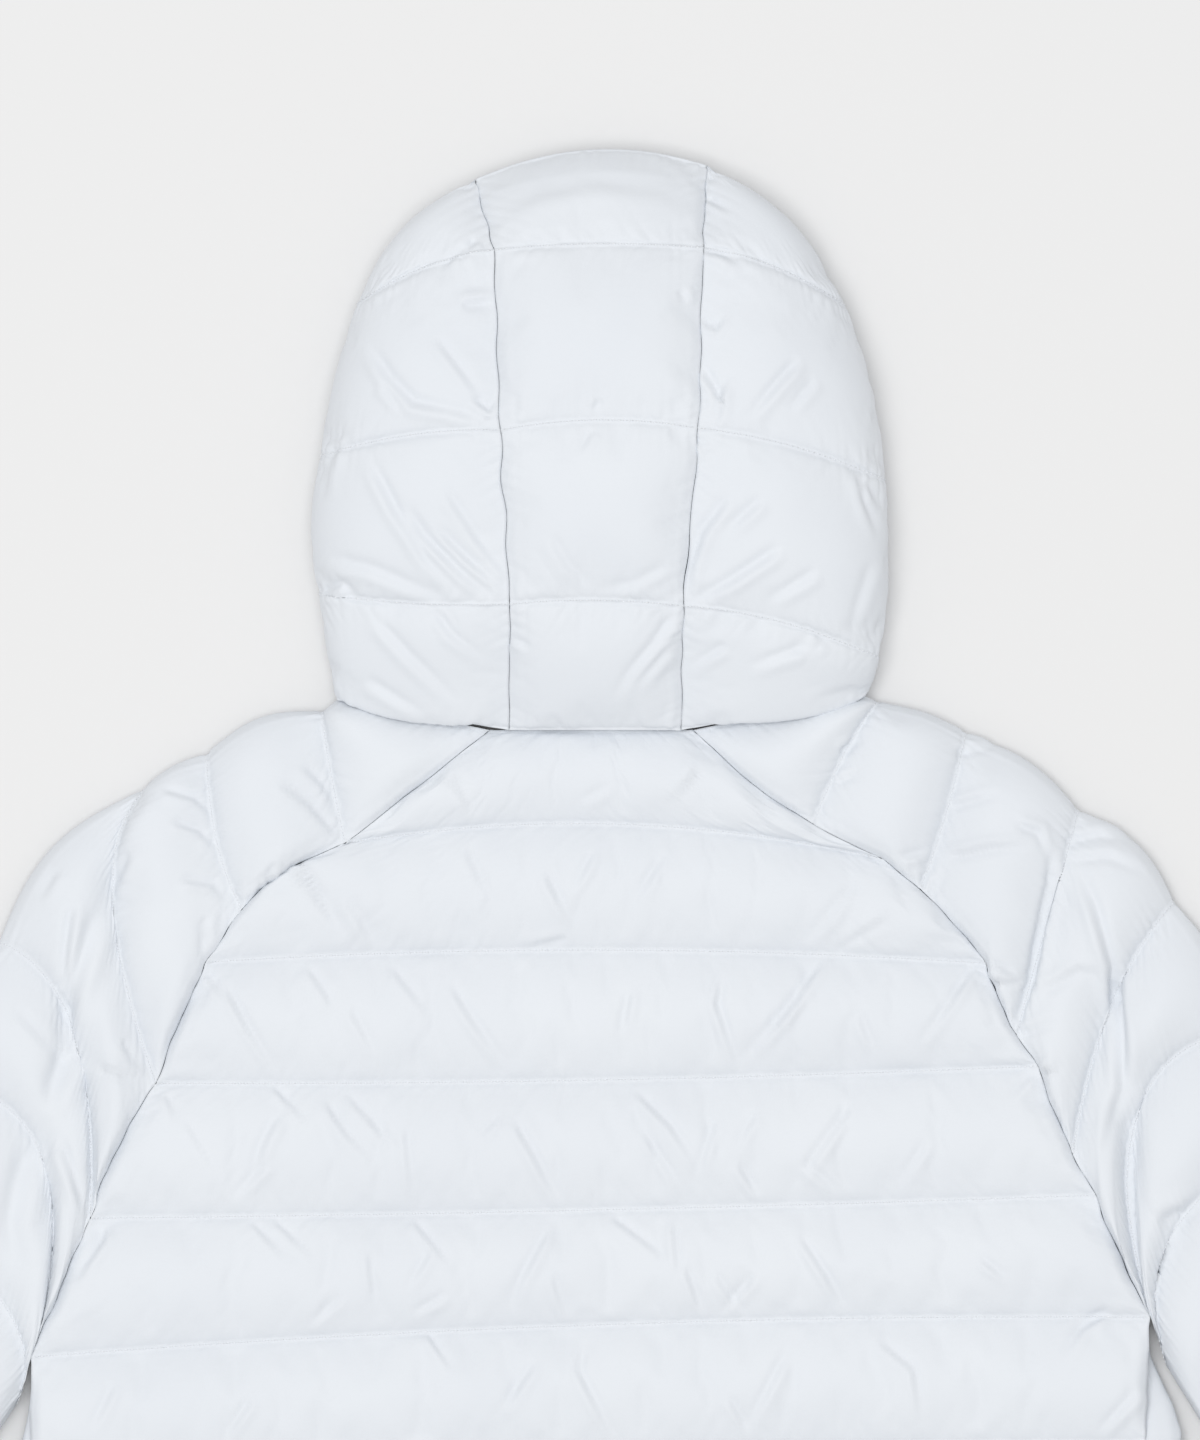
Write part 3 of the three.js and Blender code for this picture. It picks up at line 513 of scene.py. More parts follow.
def sleeve_lines(side, place):
    """Inner edge, middle and outline of the sleeve at each place."""
    raglan = RAGLAN_LINES[side]
    seam_place = at(raglan, 0, np.minimum(place, SLEEVE_END_LINE)) / SEAM_STEPS
    seam = beside(body_edge(side, seam_place), -side * SEAM_GAP / 2)
    underarm = beside(body_edge(side, np.array([4.9, 5.0])), -side * SEAM_GAP / 2)[1]
    arm = np.vstack([underarm, ARM_LINES[side][:, :2]])
    arm_place = np.maximum(place - SLEEVE_END_LINE, 0)
    folded = np.stack([at(arm, 0, arm_place), at(arm, 1, arm_place)], 1)
    inner = np.where((place <= SLEEVE_END_LINE)[:, None], seam, folded)
    table = SLEEVE_LINES[side]
    middle = np.stack([at(table, 0, place), at(table, 1, place)], 1)
    outline = swollen_edge(table, (2, 3, 4), place, -side)
    return inner, middle, outline


def sleeve_point(side, place, share):
    """A stitched line seen from above: the parabola through its inner end, its middle and its outer end."""
    inner, middle, outline = (points[:, None, :] for points in sleeve_lines(side, place))
    s = share[None, :, None]
    plan = inner * (1 - s) * (1 - 2 * s) + middle * 4 * s * (1 - s) + outline * s * (2 * s - 1)
    plan[..., 1] -= np.where(place == 0, SEAM_GAP / 2, 0)[:, None]
    return plan


def sleeve_outer(side):
    """Column 0 to 1 goes over the sleeve from the seam to the outline, 1 to 2 back along the floor."""
    start, end, across, fold_width, depth = SLEEVE_FOLD[side]

    def surface(place, column):
        share = np.where(column <= 1, column, 2 - column)
        plan = sleeve_point(side, place, share)
        s = share[None, :]
        rounding = np.sqrt(np.clip(1 - np.abs(2 * s - 1) ** SLEEVE_ROUNDING, 0, 1))
        closed = np.clip((place - SLEEVE_END_LINE) * 2, 0, 1)[:, None]
        inner, _, outline = sleeve_lines(side, place)
        width = np.linalg.norm(outline - inner, axis=1)[:, None]
        beside_seam = lerp(fill_from(s * width), rounding, closed)
        rounding = np.where(s < 0.5, np.maximum(rounding, beside_seam), rounding)
        at_edge = np.where(s > 0.5, 1.0, closed) * (1 - rounding)
        on_fold = (np.clip((place - start) * 2, 0, 1) * np.clip((end - place) * 2, 0, 1))[:, None]
        trough = on_fold * depth * np.exp(-(((s - across) / fold_width) ** 2))
        full = SLEEVE_CREST * (0.2 + crest(place, sag=CHANNEL_SAG)[:, None])
        rise = np.where(s < 0.5, seam_rise(place) * (1 - closed), 0)
        swell = lerp(rise, full, rounding)
        over = lerp(SEAM_TOP, SLEEVE_EDGE_Z, at_edge) + np.maximum(swell - trough, 0)
        lift = under_lift(place, UNDER_LIFT)[:, None]
        under_edge = np.where(s > 0.5, SLEEVE_EDGE_Z, lerp(UNDER_LIFT, SLEEVE_EDGE_Z, closed))
        under = np.maximum(lift, under_edge * (1 - rounding) ** 1.3)
        z = np.where(column[None, :] <= 1, over, under)
        return grid(plan[..., 0], plan[..., 1], z)

    return surface


def sleeve_inner(side):
    """The lining lies flat in the sleeve, as a slit that is open at the cuff."""

    def surface(place, column):
        share = np.where(column <= 1, column, 2 - column)
        closed = place > SLEEVE_END_LINE
        z = np.where(column < 1, UNDER_WALL + SEAM_GAP, UNDER_WALL - SEAM_GAP)
        open_plan = sleeve_point(side, place, 0.9 * share)
        closed_plan = sleeve_point(side, place, lerp(0.07, 0.9, share))
        plan = np.where(closed[:, None, None], closed_plan, open_plan)
        return grid(plan[..., 0], plan[..., 1], z[None, :])

    return surface


# %% Hood
HOOD_EDGE_RADIUS = 20.0
HOOD_INNER_RADIUS = 8.0
SIDE_OVERHANG = 10.0
SEAM_OVERHANG = 1.5
OVERHANG_PEAK = 0.09


def overhang(place):
    """How far the hood's lowest channel hangs down over the neck seam: a short hump just above the seam."""
    near = np.clip(place, 0, 1) / OVERHANG_PEAK
    return near * np.exp(1 - near)


def hood_under(outline, face, level, lift, column):
    """From the outline down a quarter circle to the floor (column 1 to 2), then in to the face (2 to 3)."""
    way = face - outline
    length = np.linalg.norm(way, axis=-1, keepdims=True)
    way = (way / length)[:, None, :]
    radius = np.minimum(HOOD_EDGE_RADIUS, 0.6 * length)
    angle = np.pi / 2 * np.clip(column - 1, 0, 1)[None, :]
    flat = np.clip(column - 2, 0, 1)[None, :]
    distance = radius * (1 - np.cos(angle)) + (length - radius) * flat
    plan = outline[:, None, :] + way * distance[..., None]
    return plan, np.maximum(level[:, None] * (1 - np.sin(angle)), lift[:, None])


def hood_inside(outline, face, level, column):
    """The lining of the same way round, a wall's thickness further in."""
    way = face - outline
    length = np.linalg.norm(way, axis=-1, keepdims=True)
    way = (way / length)[:, None, :]
    angle = np.pi / 2 * np.clip(column - 1, 0, 1)[None, :]
    flat = np.clip(column - 2, 0, 1)[None, :]
    turned = HOOD_WALL + HOOD_INNER_RADIUS * (1 - np.cos(angle))
    distance = np.minimum(lerp(turned, length, flat), length)
    plan = outline[:, None, :] + way * distance[..., None]
    return plan, lerp(level[:, None], UNDER_WALL, np.sin(angle))


def hood_ends(side, place):
    """Seam, outline and face edge of a hood side at each place, with half the gap at its seams."""
    table = HOOD_LINES[side]
    neck = np.where(place == 0, SEAM_GAP / 2, 0)
    top = np.where(place >= len(table) - 1, side * SEAM_GAP / 2, 0)
    seam = np.stack([at(table, 0, place) + side * SEAM_GAP / 2, at(table, 1, place) + neck], 1)
    seam[:, 0] += wobble(place, 21 + side) * np.clip(4 * place, 0, 1) * np.clip(4 * (4 - place), 0, 1)
    outline = swollen_edge(table, (2, 3, 4), place, side)
    outline[:, 0] += top
    face = np.stack([at(table, 5, place) + top, at(table, 6, place)], 1)
    outline[:, 1] += neck
    face[:, 1] += neck
    return seam, outline, face


def hood_inner_height(place):
    """A wall's thickness below the seam, level with the outline at the top."""
    wall = HOOD_WALL * (1 - at(HOOD_LEVELS, 3, place) / HOOD_WALL)
    return at(HOOD_LEVELS, 1, place) - wall + np.clip(1 - place, 0, 1)


def hood_side(side, inner=False):
    """Column 0 to 1 goes from the seam over the side as a quarter ellipse, with the channel's crest on it."""

    def surface(place, column):
        seam, outline, face = hood_ends(side, place)
        level = at(HOOD_LEVELS, 2, place)
        angle = np.pi / 2 * np.clip(column, 0, 1)[None, :]
        share = np.sin(angle)
        if inner:
            plan, low = hood_inside(outline, face, level, column)
            rim = plan[:, np.argmax(column >= 1)]
            start = seam - np.stack([np.zeros(len(place)), at(HOOD_LEVELS, 3, place)], 1)
            start = np.where((place >= len(HOOD_LEVELS) - 1)[:, None], rim, start)
            end, top, swell = rim, hood_inner_height(place)[:, None], 0
            drop = 0
        else:
            lift = under_lift(place, 1) * at(HOOD_LEVELS, 4, place)
            plan, low = hood_under(outline, face, level, lift, column)
            start, end, top = seam, outline, at(HOOD_LEVELS, 1, place)[:, None]
            swell = HOOD_CREST * crest(place)[:, None]
            hang = lerp(SEAM_OVERHANG, SIDE_OVERHANG, np.sin(2 * angle)) * np.cos(angle * 0.8)
            drop = overhang(place)[:, None] * hang
        bow = 4 * at(HOOD_LINES[side], 7, place)[:, None] * share * (1 - share)
        over_x = lerp(start[:, :1], end[:, :1], share)
        over_y = lerp(start[:, 1:], end[:, 1:], share) + bow - drop
        over_z = lerp(level[:, None], top, np.cos(angle)) + swell * np.sin(2 * angle)
        over = (column <= 1)[None, :]
        return grid(
            np.where(over, over_x, plan[..., 0]),
            np.where(over, over_y, plan[..., 1]),
            np.where(over, over_z, low),
        )

    return surface


def hood_centre(inner=False):
    """Place 0 to 4 goes up the middle of the hood, 4 to 5 round its top, and 5 to 6 in to the forehead."""
    last = len(HOOD_LEVELS) - 1

    def surface(place, share):
        s = share[None, :]
        arch = 4 * s * (1 - s)
        up = np.minimum(place, last)
        (left, left_side, left_face), (right, right_side, right_face) = (hood_ends(side, up) for side in (LEFT, RIGHT))
        set_in = at(HOOD_LEVELS, 3, up)[:, None] if inner else 0
        middle = at(HOOD_LEVELS, 0, up)[:, None] + np.where(place == 0, SEAM_GAP / 2, 0)[:, None]
        bow = middle - (left[:, 1:] + right[:, 1:]) / 2
        x = lerp(left[:, :1] + SEAM_GAP, right[:, :1] - SEAM_GAP, s)
        y = lerp(left[:, 1:], right[:, 1:], s) + bow * arch - set_in
        if inner:
            z = hood_inner_height(up)[:, None] + 0 * s
        else:
            crown = (HOOD_CROWN + HOOD_CREST * crest(up)[:, None]) * np.clip((last - place[:, None]) * 4, 0, 1)
            z = at(HOOD_LEVELS, 1, up)[:, None] + crown * np.sqrt(arch)
            y = y - overhang(place)[:, None] * SEAM_OVERHANG * (1 - 0.3 * arch) * (place[:, None] < 1)

        over = place > last if not inner else place >= last
        column = np.clip(place[over] - last, 0, 2) + 1
        ends = []
        for outline, face in ((left_side, left_face), (right_side, right_face)):
            start = np.repeat(outline[-1:], 1, 0)
            finish = np.repeat(face[-1:], 1, 0)
            ends.append(way_round(start, finish, column, inner))
        top = HOOD_LEVELS[-1]
        mid = way_round(np.array([[0.0, top[0]]]), np.array([[0.0, FOREHEAD_Y]]), column, inner)
        (left_plan, low), (right_plan, _), (middle_plan, _) = ends[0], ends[1], mid
        bow = middle_plan[:, 1:] - (left_plan[:, 1:] + right_plan[:, 1:]) / 2
        x[over] = lerp(left_plan[:, :1] + SEAM_GAP, right_plan[:, :1] - SEAM_GAP, s)
        y[over] = lerp(left_plan[:, 1:], right_plan[:, 1:], s) + bow * arch
        z[over] = low[:, None]
        return grid(x, y, z)

    return surface


def way_round(outline, face, column, inner):
    """One way round the hood's edge, for the centre panel's rows past its top."""
    level = np.array([HOOD_LEVELS[-1][1]])
    plan, z = hood_inside(outline, face, level, column) if inner else hood_under(
        outline, face, level, np.zeros(1), column
    )
    return plan[0], z[0]

# %% [markdown]
# ## From a grid to a closed panel
# A padded panel has a fine outer face, where every wrinkle shows, and a coarse lining. Both grids share their
# spacing in whole steps, so the rim between them is a row of small polygons and the shell is closed.

# %% Mesh helpers


def spread(count, first=0.0, last=1.0):
    return np.linspace(first, last, count + 1)


def resample(points, place, axis=0, sharp=None):
    """Reads a grid at finer places along one axis, in units of its rows: a cubic through four neighbours,
    with a crease at sharp rows, where the neighbour beyond is a straight continuation."""
    p = np.moveaxis(points, axis, 0)
    last = len(p) - 1
    sharp = np.zeros(len(p), bool) if sharp is None else sharp.copy()
    sharp[[0, -1]] = True
    i = np.clip(np.floor(place + 1e-9).astype(int), 0, last - 1)
    shape = (-1,) + (1,) * (p.ndim - 1)
    f = (place - i).reshape(shape)
    here, there = p[i], p[i + 1]
    before = np.where(sharp[i].reshape(shape), 2 * here - there, p[np.maximum(i - 1, 0)])
    after = np.where(sharp[i + 1].reshape(shape), 2 * there - here, p[np.minimum(i + 2, last)])
    result = here + 0.5 * f * (
        there - before + f * (2 * before - 5 * here + 4 * there - after + f * (3 * (here - there) + after - before))
    )
    return np.moveaxis(result, 0, axis)


def quads(index):
    return np.stack([index[:-1, :-1], index[1:, :-1], index[1:, 1:], index[:-1, 1:]], -1).reshape(-1, 4)


def split_along_creases(index, points):
    """Triangles of a grid. Each cell is cut along the diagonal whose two normals agree best, so the edges
    run along a crease instead of across it."""
    normal = normals(points)
    a, b, c, d = index[:-1, :-1], index[1:, :-1], index[1:, 1:], index[:-1, 1:]
    bend_ac = ((normal[:-1, :-1] - normal[1:, 1:]) ** 2).sum(-1)
    bend_bd = ((normal[1:, :-1] - normal[:-1, 1:]) ** 2).sum(-1)
    cut = (bend_ac <= bend_bd)[..., None]
    one = np.where(cut, np.stack([a, b, c], -1), np.stack([a, b, d], -1))
    two = np.where(cut, np.stack([a, c, d], -1), np.stack([b, c, d], -1))
    return np.concatenate([one.reshape(-1, 3), two.reshape(-1, 3)])


def rim(fine, coarse):
    """Polygons between a fine edge and a coarse one: so many fine corners, then two coarse ones back."""
    assert (len(fine) - 1) % (len(coarse) - 1) == 0, "the lining's steps don't fit the outer face's"
    step = (len(fine) - 1) // (len(coarse) - 1)
    starts = np.arange(len(coarse) - 1)
    along = fine[starts[:, None] * step + np.arange(step + 1)[None, :]]
    return np.concatenate([along, coarse[starts + 1][:, None], coarse[starts][:, None]], 1)


def signed_volume(points, groups):
    """Sum of the tetrahedra from the origin to each face's fan of triangles: positive when faces look out."""
    total = 0.0
    for faces in groups:
        for k in range(1, faces.shape[1] - 1):
            a, b, c = points[faces[:, 0]], points[faces[:, k]], points[faces[:, k + 1]]
            total += np.einsum("ij,ij->i", a, np.cross(b, c)).sum() / 6
    return total


def new_mesh_object(name, points, groups, material):
    """A smooth mesh object from points in garment millimetres and groups of faces of equal corner counts."""
    points = in_frame(points)
    if signed_volume(points, groups) < 0:
        groups = [faces[:, ::-1] for faces in groups]
    mesh = bpy.data.meshes.new(name)
    corners = np.concatenate([faces.ravel() for faces in groups]).astype(np.int32)
    sizes = np.concatenate([np.full(len(faces), faces.shape[1]) for faces in groups])
    mesh.vertices.add(len(points))
    mesh.vertices.foreach_set("co", points.astype(np.float32).ravel())
    mesh.loops.add(len(corners))
    mesh.loops.foreach_set("vertex_index", corners)
    mesh.polygons.add(len(sizes))
    mesh.polygons.foreach_set("loop_start", np.concatenate([[0], np.cumsum(sizes)[:-1]]).astype(np.int32))
    mesh.polygons.foreach_set("use_smooth", np.ones(len(sizes), bool))
    mesh.update(calc_edges=True)
    mesh.validate()
    mesh.materials.append(material)
    made = bpy.data.objects.new(name, mesh)
    bpy.context.scene.collection.objects.link(made)
    return made


def padded_panel(name, outer, inner, material, closed_from=None):
    """A closed wall between an outer and an inner grid. From row closed_from on it is a tube, whose last
    column is its first."""
    fine = np.arange(outer.shape[0] * outer.shape[1]).reshape(outer.shape[:2])
    coarse = fine.size + np.arange(inner.shape[0] * inner.shape[1]).reshape(inner.shape[:2])
    step = (len(fine) - 1) // (len(coarse) - 1)
    open_rows = len(fine) if closed_from is None else closed_from + 1
    if closed_from is not None:
        fine[closed_from:, -1] = fine[closed_from:, 0]
        coarse[closed_from // step:, -1] = coarse[closed_from // step:, 0]
    open_coarse = (open_rows - 1) // step + 1
    groups = [
        split_along_creases(fine, outer),
        quads(coarse)[:, ::-1],
        rim(fine[:open_rows, 0], coarse[:open_coarse, 0])[:, ::-1],
        rim(fine[:open_rows, -1], coarse[:open_coarse, -1]),
        rim(fine[0], coarse[0]),
        rim(fine[-1], coarse[-1])[:, ::-1],
    ]
    points = np.concatenate([outer.reshape(-1, 3), inner.reshape(-1, 3)])
    used, where = np.unique(np.concatenate([faces.ravel() for faces in groups]), return_inverse=True)
    ends = np.cumsum([faces.size for faces in groups])
    parts = np.split(where, ends[:-1])
    groups = [part.reshape(faces.shape) for part, faces in zip(parts, groups)]
    made = new_mesh_object(name, points[used], groups, material)
    print(name, len(made.data.polygons), "faces")
    return made


def is_line(place):
    return np.isclose(place, np.round(place))


# %% Panels at rest
shell_material, shell_tree, shell_shader = node_material("white_shell", (0.765, 0.795, 0.835, 1), 0.6)
shell_shader.inputs["Sheen Weight"].default_value = 0.12
shell_shader.inputs["Sheen Roughness"].default_value = 0.45
shell_shader.inputs["Specular IOR Level"].default_value = 0.35
shell_place = own_place(shell_tree)
add_variation(shell_tree, shell_shader, shell_place, 14.0, (0.752, 0.783, 0.826, 1), (0.772, 0.802, 0.841, 1))
add_bump(shell_tree, shell_shader, weave_height(shell_tree, shell_place, 620, 560, 260, 2.5), 0.35, 0.00012)

BODY_STEPS = 12  # rows of a body channel before refining
HOOD_STEPS = 20
LINING_STEP = 8
REST_HEIGHT = 4.0  # cloth below this lies on the floor and stays there


class Panel:
    """A panel's name, its two faces, and its two parameters before refining."""

    def __init__(self, node, outer, inner, place, column, closed_from=None):
        self.node = node
        self.inner = inner
        self.place = place
        self.column = column
        self.closed_from = closed_from
        self.points = outer(place, column)
        self.held = self.points[..., 2] < REST_HEIGHT
        same = np.ptp(self.points[-1, :len(column) // 2], axis=0).max() < 1e-6
        self.cloth_rows = len(place) - 1 if same else len(place)  # a row drawn up to one point is no cloth


body_place = spread((len(BODY_LINES) - 1) * BODY_STEPS, 0, len(BODY_LINES) - 1)
hood_place = spread((len(HOOD_LEVELS) - 1) * HOOD_STEPS, 0, len(HOOD_LEVELS) - 1)
front_column = np.concatenate([spread(32)[:-1], spread(16, 1, 2)])
sleeve_column = np.concatenate([spread(32)[:-1], spread(16, 1, 2)])
side_column = np.concatenate([spread(24)[:-1], spread(8, 1, 2)[:-1], spread(8, 2, 3)])
centre_place = np.concatenate([hood_place, spread(8, 4, 5)[1:], spread(8, 5, 6)[1:]])
underarm_row = SLEEVE_END_LINE * BODY_STEPS

panels = [Panel("back", back_outer, back_inner, body_place, spread(120))]
for side, word in ((LEFT, "left"), (RIGHT, "right")):
    panels.append(Panel("front_" + word, front_outer(side), front_inner(side), body_place, front_column))
    panels.append(Panel(
        "sleeve_" + word, sleeve_outer(side), sleeve_inner(side), body_place, sleeve_column, underarm_row
    ))
    panels.append(Panel("hood_side_" + word, hood_side(side), hood_side(side, True), hood_place, side_column))
panels.append(Panel("hood_centre", hood_centre(), hood_centre(True), centre_place, spread(24)))

# %% [markdown]
# ## Let the down push the cloth out
# The shell of each channel is cut fuller than the stitching that holds it, so the down pushes it into pillows
# that pucker where they are sewn. Blender's cloth does this: the stitched lines and seams are pinned, the
# cloth between them is given some spare length and a little pressure, and it buckles as the real one does.
# Gravity is off and nothing is random, so each run gives the same folds. The move of a point is capped, which
# keeps the panel in the room of its solid.

# %% Cloth simulation
SIM_FRAMES = 20
SIM_PRESSURE = 30.0
SPARE_CLOTH = 0.012
MOST_MOVE = 5.0
# How often the move is averaged with its neighbours', and its own weight in that
CALMING = {"back": (1, 6), "hood": (1, 6), "sleeve": (3, 2)}


def ripples(points, size, height):
    """A small seeded unevenness: sums of sine waves in random directions, which tells the cloth where to
    buckle first."""
    random = np.random.default_rng(7)
    total = np.zeros(points.shape[:2])
    for _ in range(24):
        angle, phase = random.uniform(0, 2 * np.pi, 2)
        wave = size * random.uniform(0.6, 1.8)
        total += np.sin((points[..., 0] * np.cos(angle) + points[..., 1] * np.sin(angle)) * 2 * np.pi / wave + phase)
    return height * total / math.sqrt(24)


def pinned(panel):
    """1 on stitched lines, seams and what lies on the floor, 0 where the cloth is free."""
    held = np.zeros(panel.points.shape[:2], bool)
    held[is_line(panel.place)] = True
    held[:, [0, -1]] = True
    held |= panel.held
    return held


def start_cloth(panel):
    """Puts the panel's outer face into the scene as cloth."""
    start = panel.points[:panel.cloth_rows].copy()
    rows, columns = start.shape[:2]
    held = pinned(panel)[:rows]
    held[-1] = True
    start[..., 2] += np.where(held, 0, ripples(start, 38, 0.35))
    index = np.arange(rows * columns).reshape(rows, columns)
    mesh = bpy.data.meshes.new("cloth_" + panel.node)
    faces = quads(index)
    top = columns // 3
    facing = np.cross(start[1:, :top] - start[:-1, :top], start[:-1, 1:top + 1] - start[:-1, :top])[..., 2]
    if facing.sum() < 0:
        faces = faces[:, ::-1]
    mesh.from_pydata((start.reshape(-1, 3) * MM).tolist(), [], faces.tolist())
    cloth = bpy.data.objects.new("cloth_" + panel.node, mesh)
    bpy.context.scene.collection.objects.link(cloth)
    group = cloth.vertex_groups.new(name="held")
    group.add(np.flatnonzero(held.ravel()).tolist(), 1.0, "REPLACE")
    settings = cloth.modifiers.new("down", "CLOTH").settings
    settings.vertex_group_mass = "held"
    settings.quality = 5
    settings.mass = 0.2
    settings.tension_stiffness = 20
    settings.compression_stiffness = 20
    settings.shear_stiffness = 4
    settings.bending_stiffness = 0.3
    settings.use_pressure = True
    settings.uniform_pressure_force = SIM_PRESSURE
    settings.shrink_min = -SPARE_CLOTH
    settings.effector_weights.gravity = 0
    return cloth


def simulate(panels):
    """Steps all the panels' cloth together, then takes their points back and removes the cloth."""
    cloths = [start_cloth(panel) for panel in panels]
    scene = bpy.context.scene
    for frame_number in range(1, SIM_FRAMES + 1):
        scene.frame_set(frame_number)
    graph = bpy.context.evaluated_depsgraph_get()
    for panel, cloth in zip(panels, cloths):
        posed = cloth.evaluated_get(graph).to_mesh()
        points = np.empty(len(posed.vertices) * 3, np.float32)
        posed.vertices.foreach_get("co", points)
        cloth_points = panel.points[:panel.cloth_rows]
        moved = points.reshape(cloth_points.shape) / MM - cloth_points
        free = ~pinned(panel)[:panel.cloth_rows, :, None]
        times, weight = CALMING[panel.node.split("_")[0]]
        for _ in range(times):
            for axis in (0, 1):
                moved = (np.roll(moved, 1, axis) + weight * moved + np.roll(moved, -1, axis)) / (weight + 2) * free
        length = np.linalg.norm(moved, axis=-1, keepdims=True)
        print(panel.node, "moved up to", round(float(length.max()), 1), "mm, middle",
              round(float(np.median(length)), 1))
        cloth_points += moved * np.minimum(1, MOST_MOVE / np.maximum(length, 1e-6))
        bpy.data.objects.remove(cloth)
    scene.frame_set(1)


started = time.perf_counter()
simulate([panel for panel in panels if not panel.node.startswith("front")])
print("cloth took", round(time.perf_counter() - started, 1), "s")

# %% Finished panels
SHOWN_LINES = 6  # the channels above this line are in the photograph, and get the finest rows
FINE_ROWS, PLAIN_ROWS, HIDDEN_ROWS = 36, 16, 8
CROWDING = 0.5  # rows stand closer together beside a stitched line


def crowded(count, first, last, step):
    """Places with so many rows to a channel, crowded towards the lines by a sine of the place itself."""
    place = spread(count * (last - first), first, last)
    return (place - CROWDING * np.sin(2 * np.pi * place) / (2 * np.pi)) * step


def fine_places(panel):
    """Finer places along both parameters, in rows and columns of the panel's first grid."""
    steps = int(round(1 / (panel.place[1] - panel.place[0])))
    lines = len(BODY_LINES) - 1
    if panel.node.startswith("hood"):
        rows = crowded(60, 0, len(HOOD_LEVELS) - 1, steps)
        if panel.node == "hood_centre":
            rows = np.concatenate([rows, spread(48, rows[-1], len(panel.place) - 1)[1:]])
    elif panel.node.startswith("front"):
        rows = crowded(PLAIN_ROWS, 0, lines, steps)
    else:
        rows = np.concatenate([
            crowded(FINE_ROWS, 0, SHOWN_LINES, steps)[:-1],
            crowded(HIDDEN_ROWS, SHOWN_LINES, lines, steps),
        ])
    columns = (len(panel.column) - 1) * (2 if panel.node.startswith("front") else 4)
    if panel.node == "back":
        columns = 344
    return rows, spread(columns, 0, len(panel.column) - 1)


def normals(points, looks_up=True):
    """Unit normals of a grid, from the cross product of its two directions, turned so that its first third
    looks upwards, or downwards for a front."""
    down = np.gradient(points, axis=0)
    across = np.gradient(points, axis=1)
    normal = np.cross(down, across)
    normal /= np.maximum(np.linalg.norm(normal, axis=-1, keepdims=True), 1e-9)
    middle = normal[:, : max(2, normal.shape[1] // 3), 2]
    return normal * (1 if (middle.sum() > 0) == looks_up else -1)


def along_rows(points):
    """Distance along each row, from its first column, in millimetres."""
    steps = np.linalg.norm(np.diff(points, axis=1), axis=-1)
    return np.concatenate([np.zeros((len(points), 1)), np.cumsum(steps, axis=1)], 1)


def line_distance(points, place):
    """Distance of each point from the nearest stitched line, measured down its own column, that line's
    number, and the width of the channel there."""
    steps = np.linalg.norm(np.diff(points, axis=0), axis=-1)
    down = np.concatenate([np.zeros((1, points.shape[1])), np.cumsum(steps, axis=0)])
    lines = np.flatnonzero(is_line(place))
    nearest = np.abs(place[:, None] - place[lines][None, :]).argmin(1)
    channel = np.clip(np.searchsorted(lines, np.arange(len(place)), "right") - 1, 0, len(lines) - 2)
    return np.abs(down - down[lines][nearest]), nearest, np.diff(down[lines], axis=0)[channel]


# %% [markdown]
# ## Folds and creases
# Where stitching gathers spare cloth, thin creases run off it at a slant. The long ones are given one by one, as
# a tailor would chalk them: each is a line of points in the photograph's pixels with a depth and a width. The
# cloth dips along the line and rises in a ridge beside it, and both fade out at the ends.

# %% Creases


def from_photo(pixels):
    """Pixels of the photograph as millimetres from the neck point."""
    pixels = np.asarray(pixels, float)
    return np.stack([
        (pixels[:, 0] - NECK_PIXEL[0]) * MM_PER_PIXEL,
        (NECK_PIXEL[1] - pixels[:, 1]) * MM_PER_PIXEL,
    ], 1)


CREASE_ROOM = 26.0  # creases get shallower in channels narrower than this
CREASE_WIDTH = 0.95  # of the widths in the tables
CREASE_DEPTH = 0.9


def crease(points, line, depth, width):
    """Height over the grid: a Gaussian dip beside the line and a Gaussian ridge on its other side, times a
    fade towards both ends. A depth below zero puts the ridge on the other side."""
    line = from_photo(line)
    lengths = np.linalg.norm(np.diff(line, axis=0), axis=1)
    total = lengths.sum()
    best = np.full(points.shape[:2], np.inf)
    signed = np.zeros(points.shape[:2])
    along = np.zeros(points.shape[:2])
    done = 0.0
    for start, end, length in zip(line[:-1], line[1:], lengths):
        way = (end - start) / length
        offset = points[..., :2] - start
        t = np.clip(offset @ way, 0, length)
        apart = offset - t[..., None] * way
        distance = np.hypot(apart[..., 0], apart[..., 1])
        closer = distance < best
        best = np.where(closer, distance, best)
        side = np.sign(offset[..., 0] * way[1] - offset[..., 1] * way[0])
        signed = np.where(closer, distance * side, signed)
        along = np.where(closer, done + t, along)
        done += length
    share = along / total
    fade = np.clip(share * 6, 0, 1) * np.clip((1 - share) * 2.2, 0, 1) ** 0.8
    near = math.copysign(1, depth) * signed / (width * CREASE_WIDTH)
    profile = 0.8 * np.exp(-(((near - 0.9) / 1.2) ** 2)) - np.exp(-((near + 0.6) ** 2))
    beyond = np.exp(-np.maximum(best - np.abs(signed), 0))
    return abs(depth) * CREASE_DEPTH * profile * fade * beyond


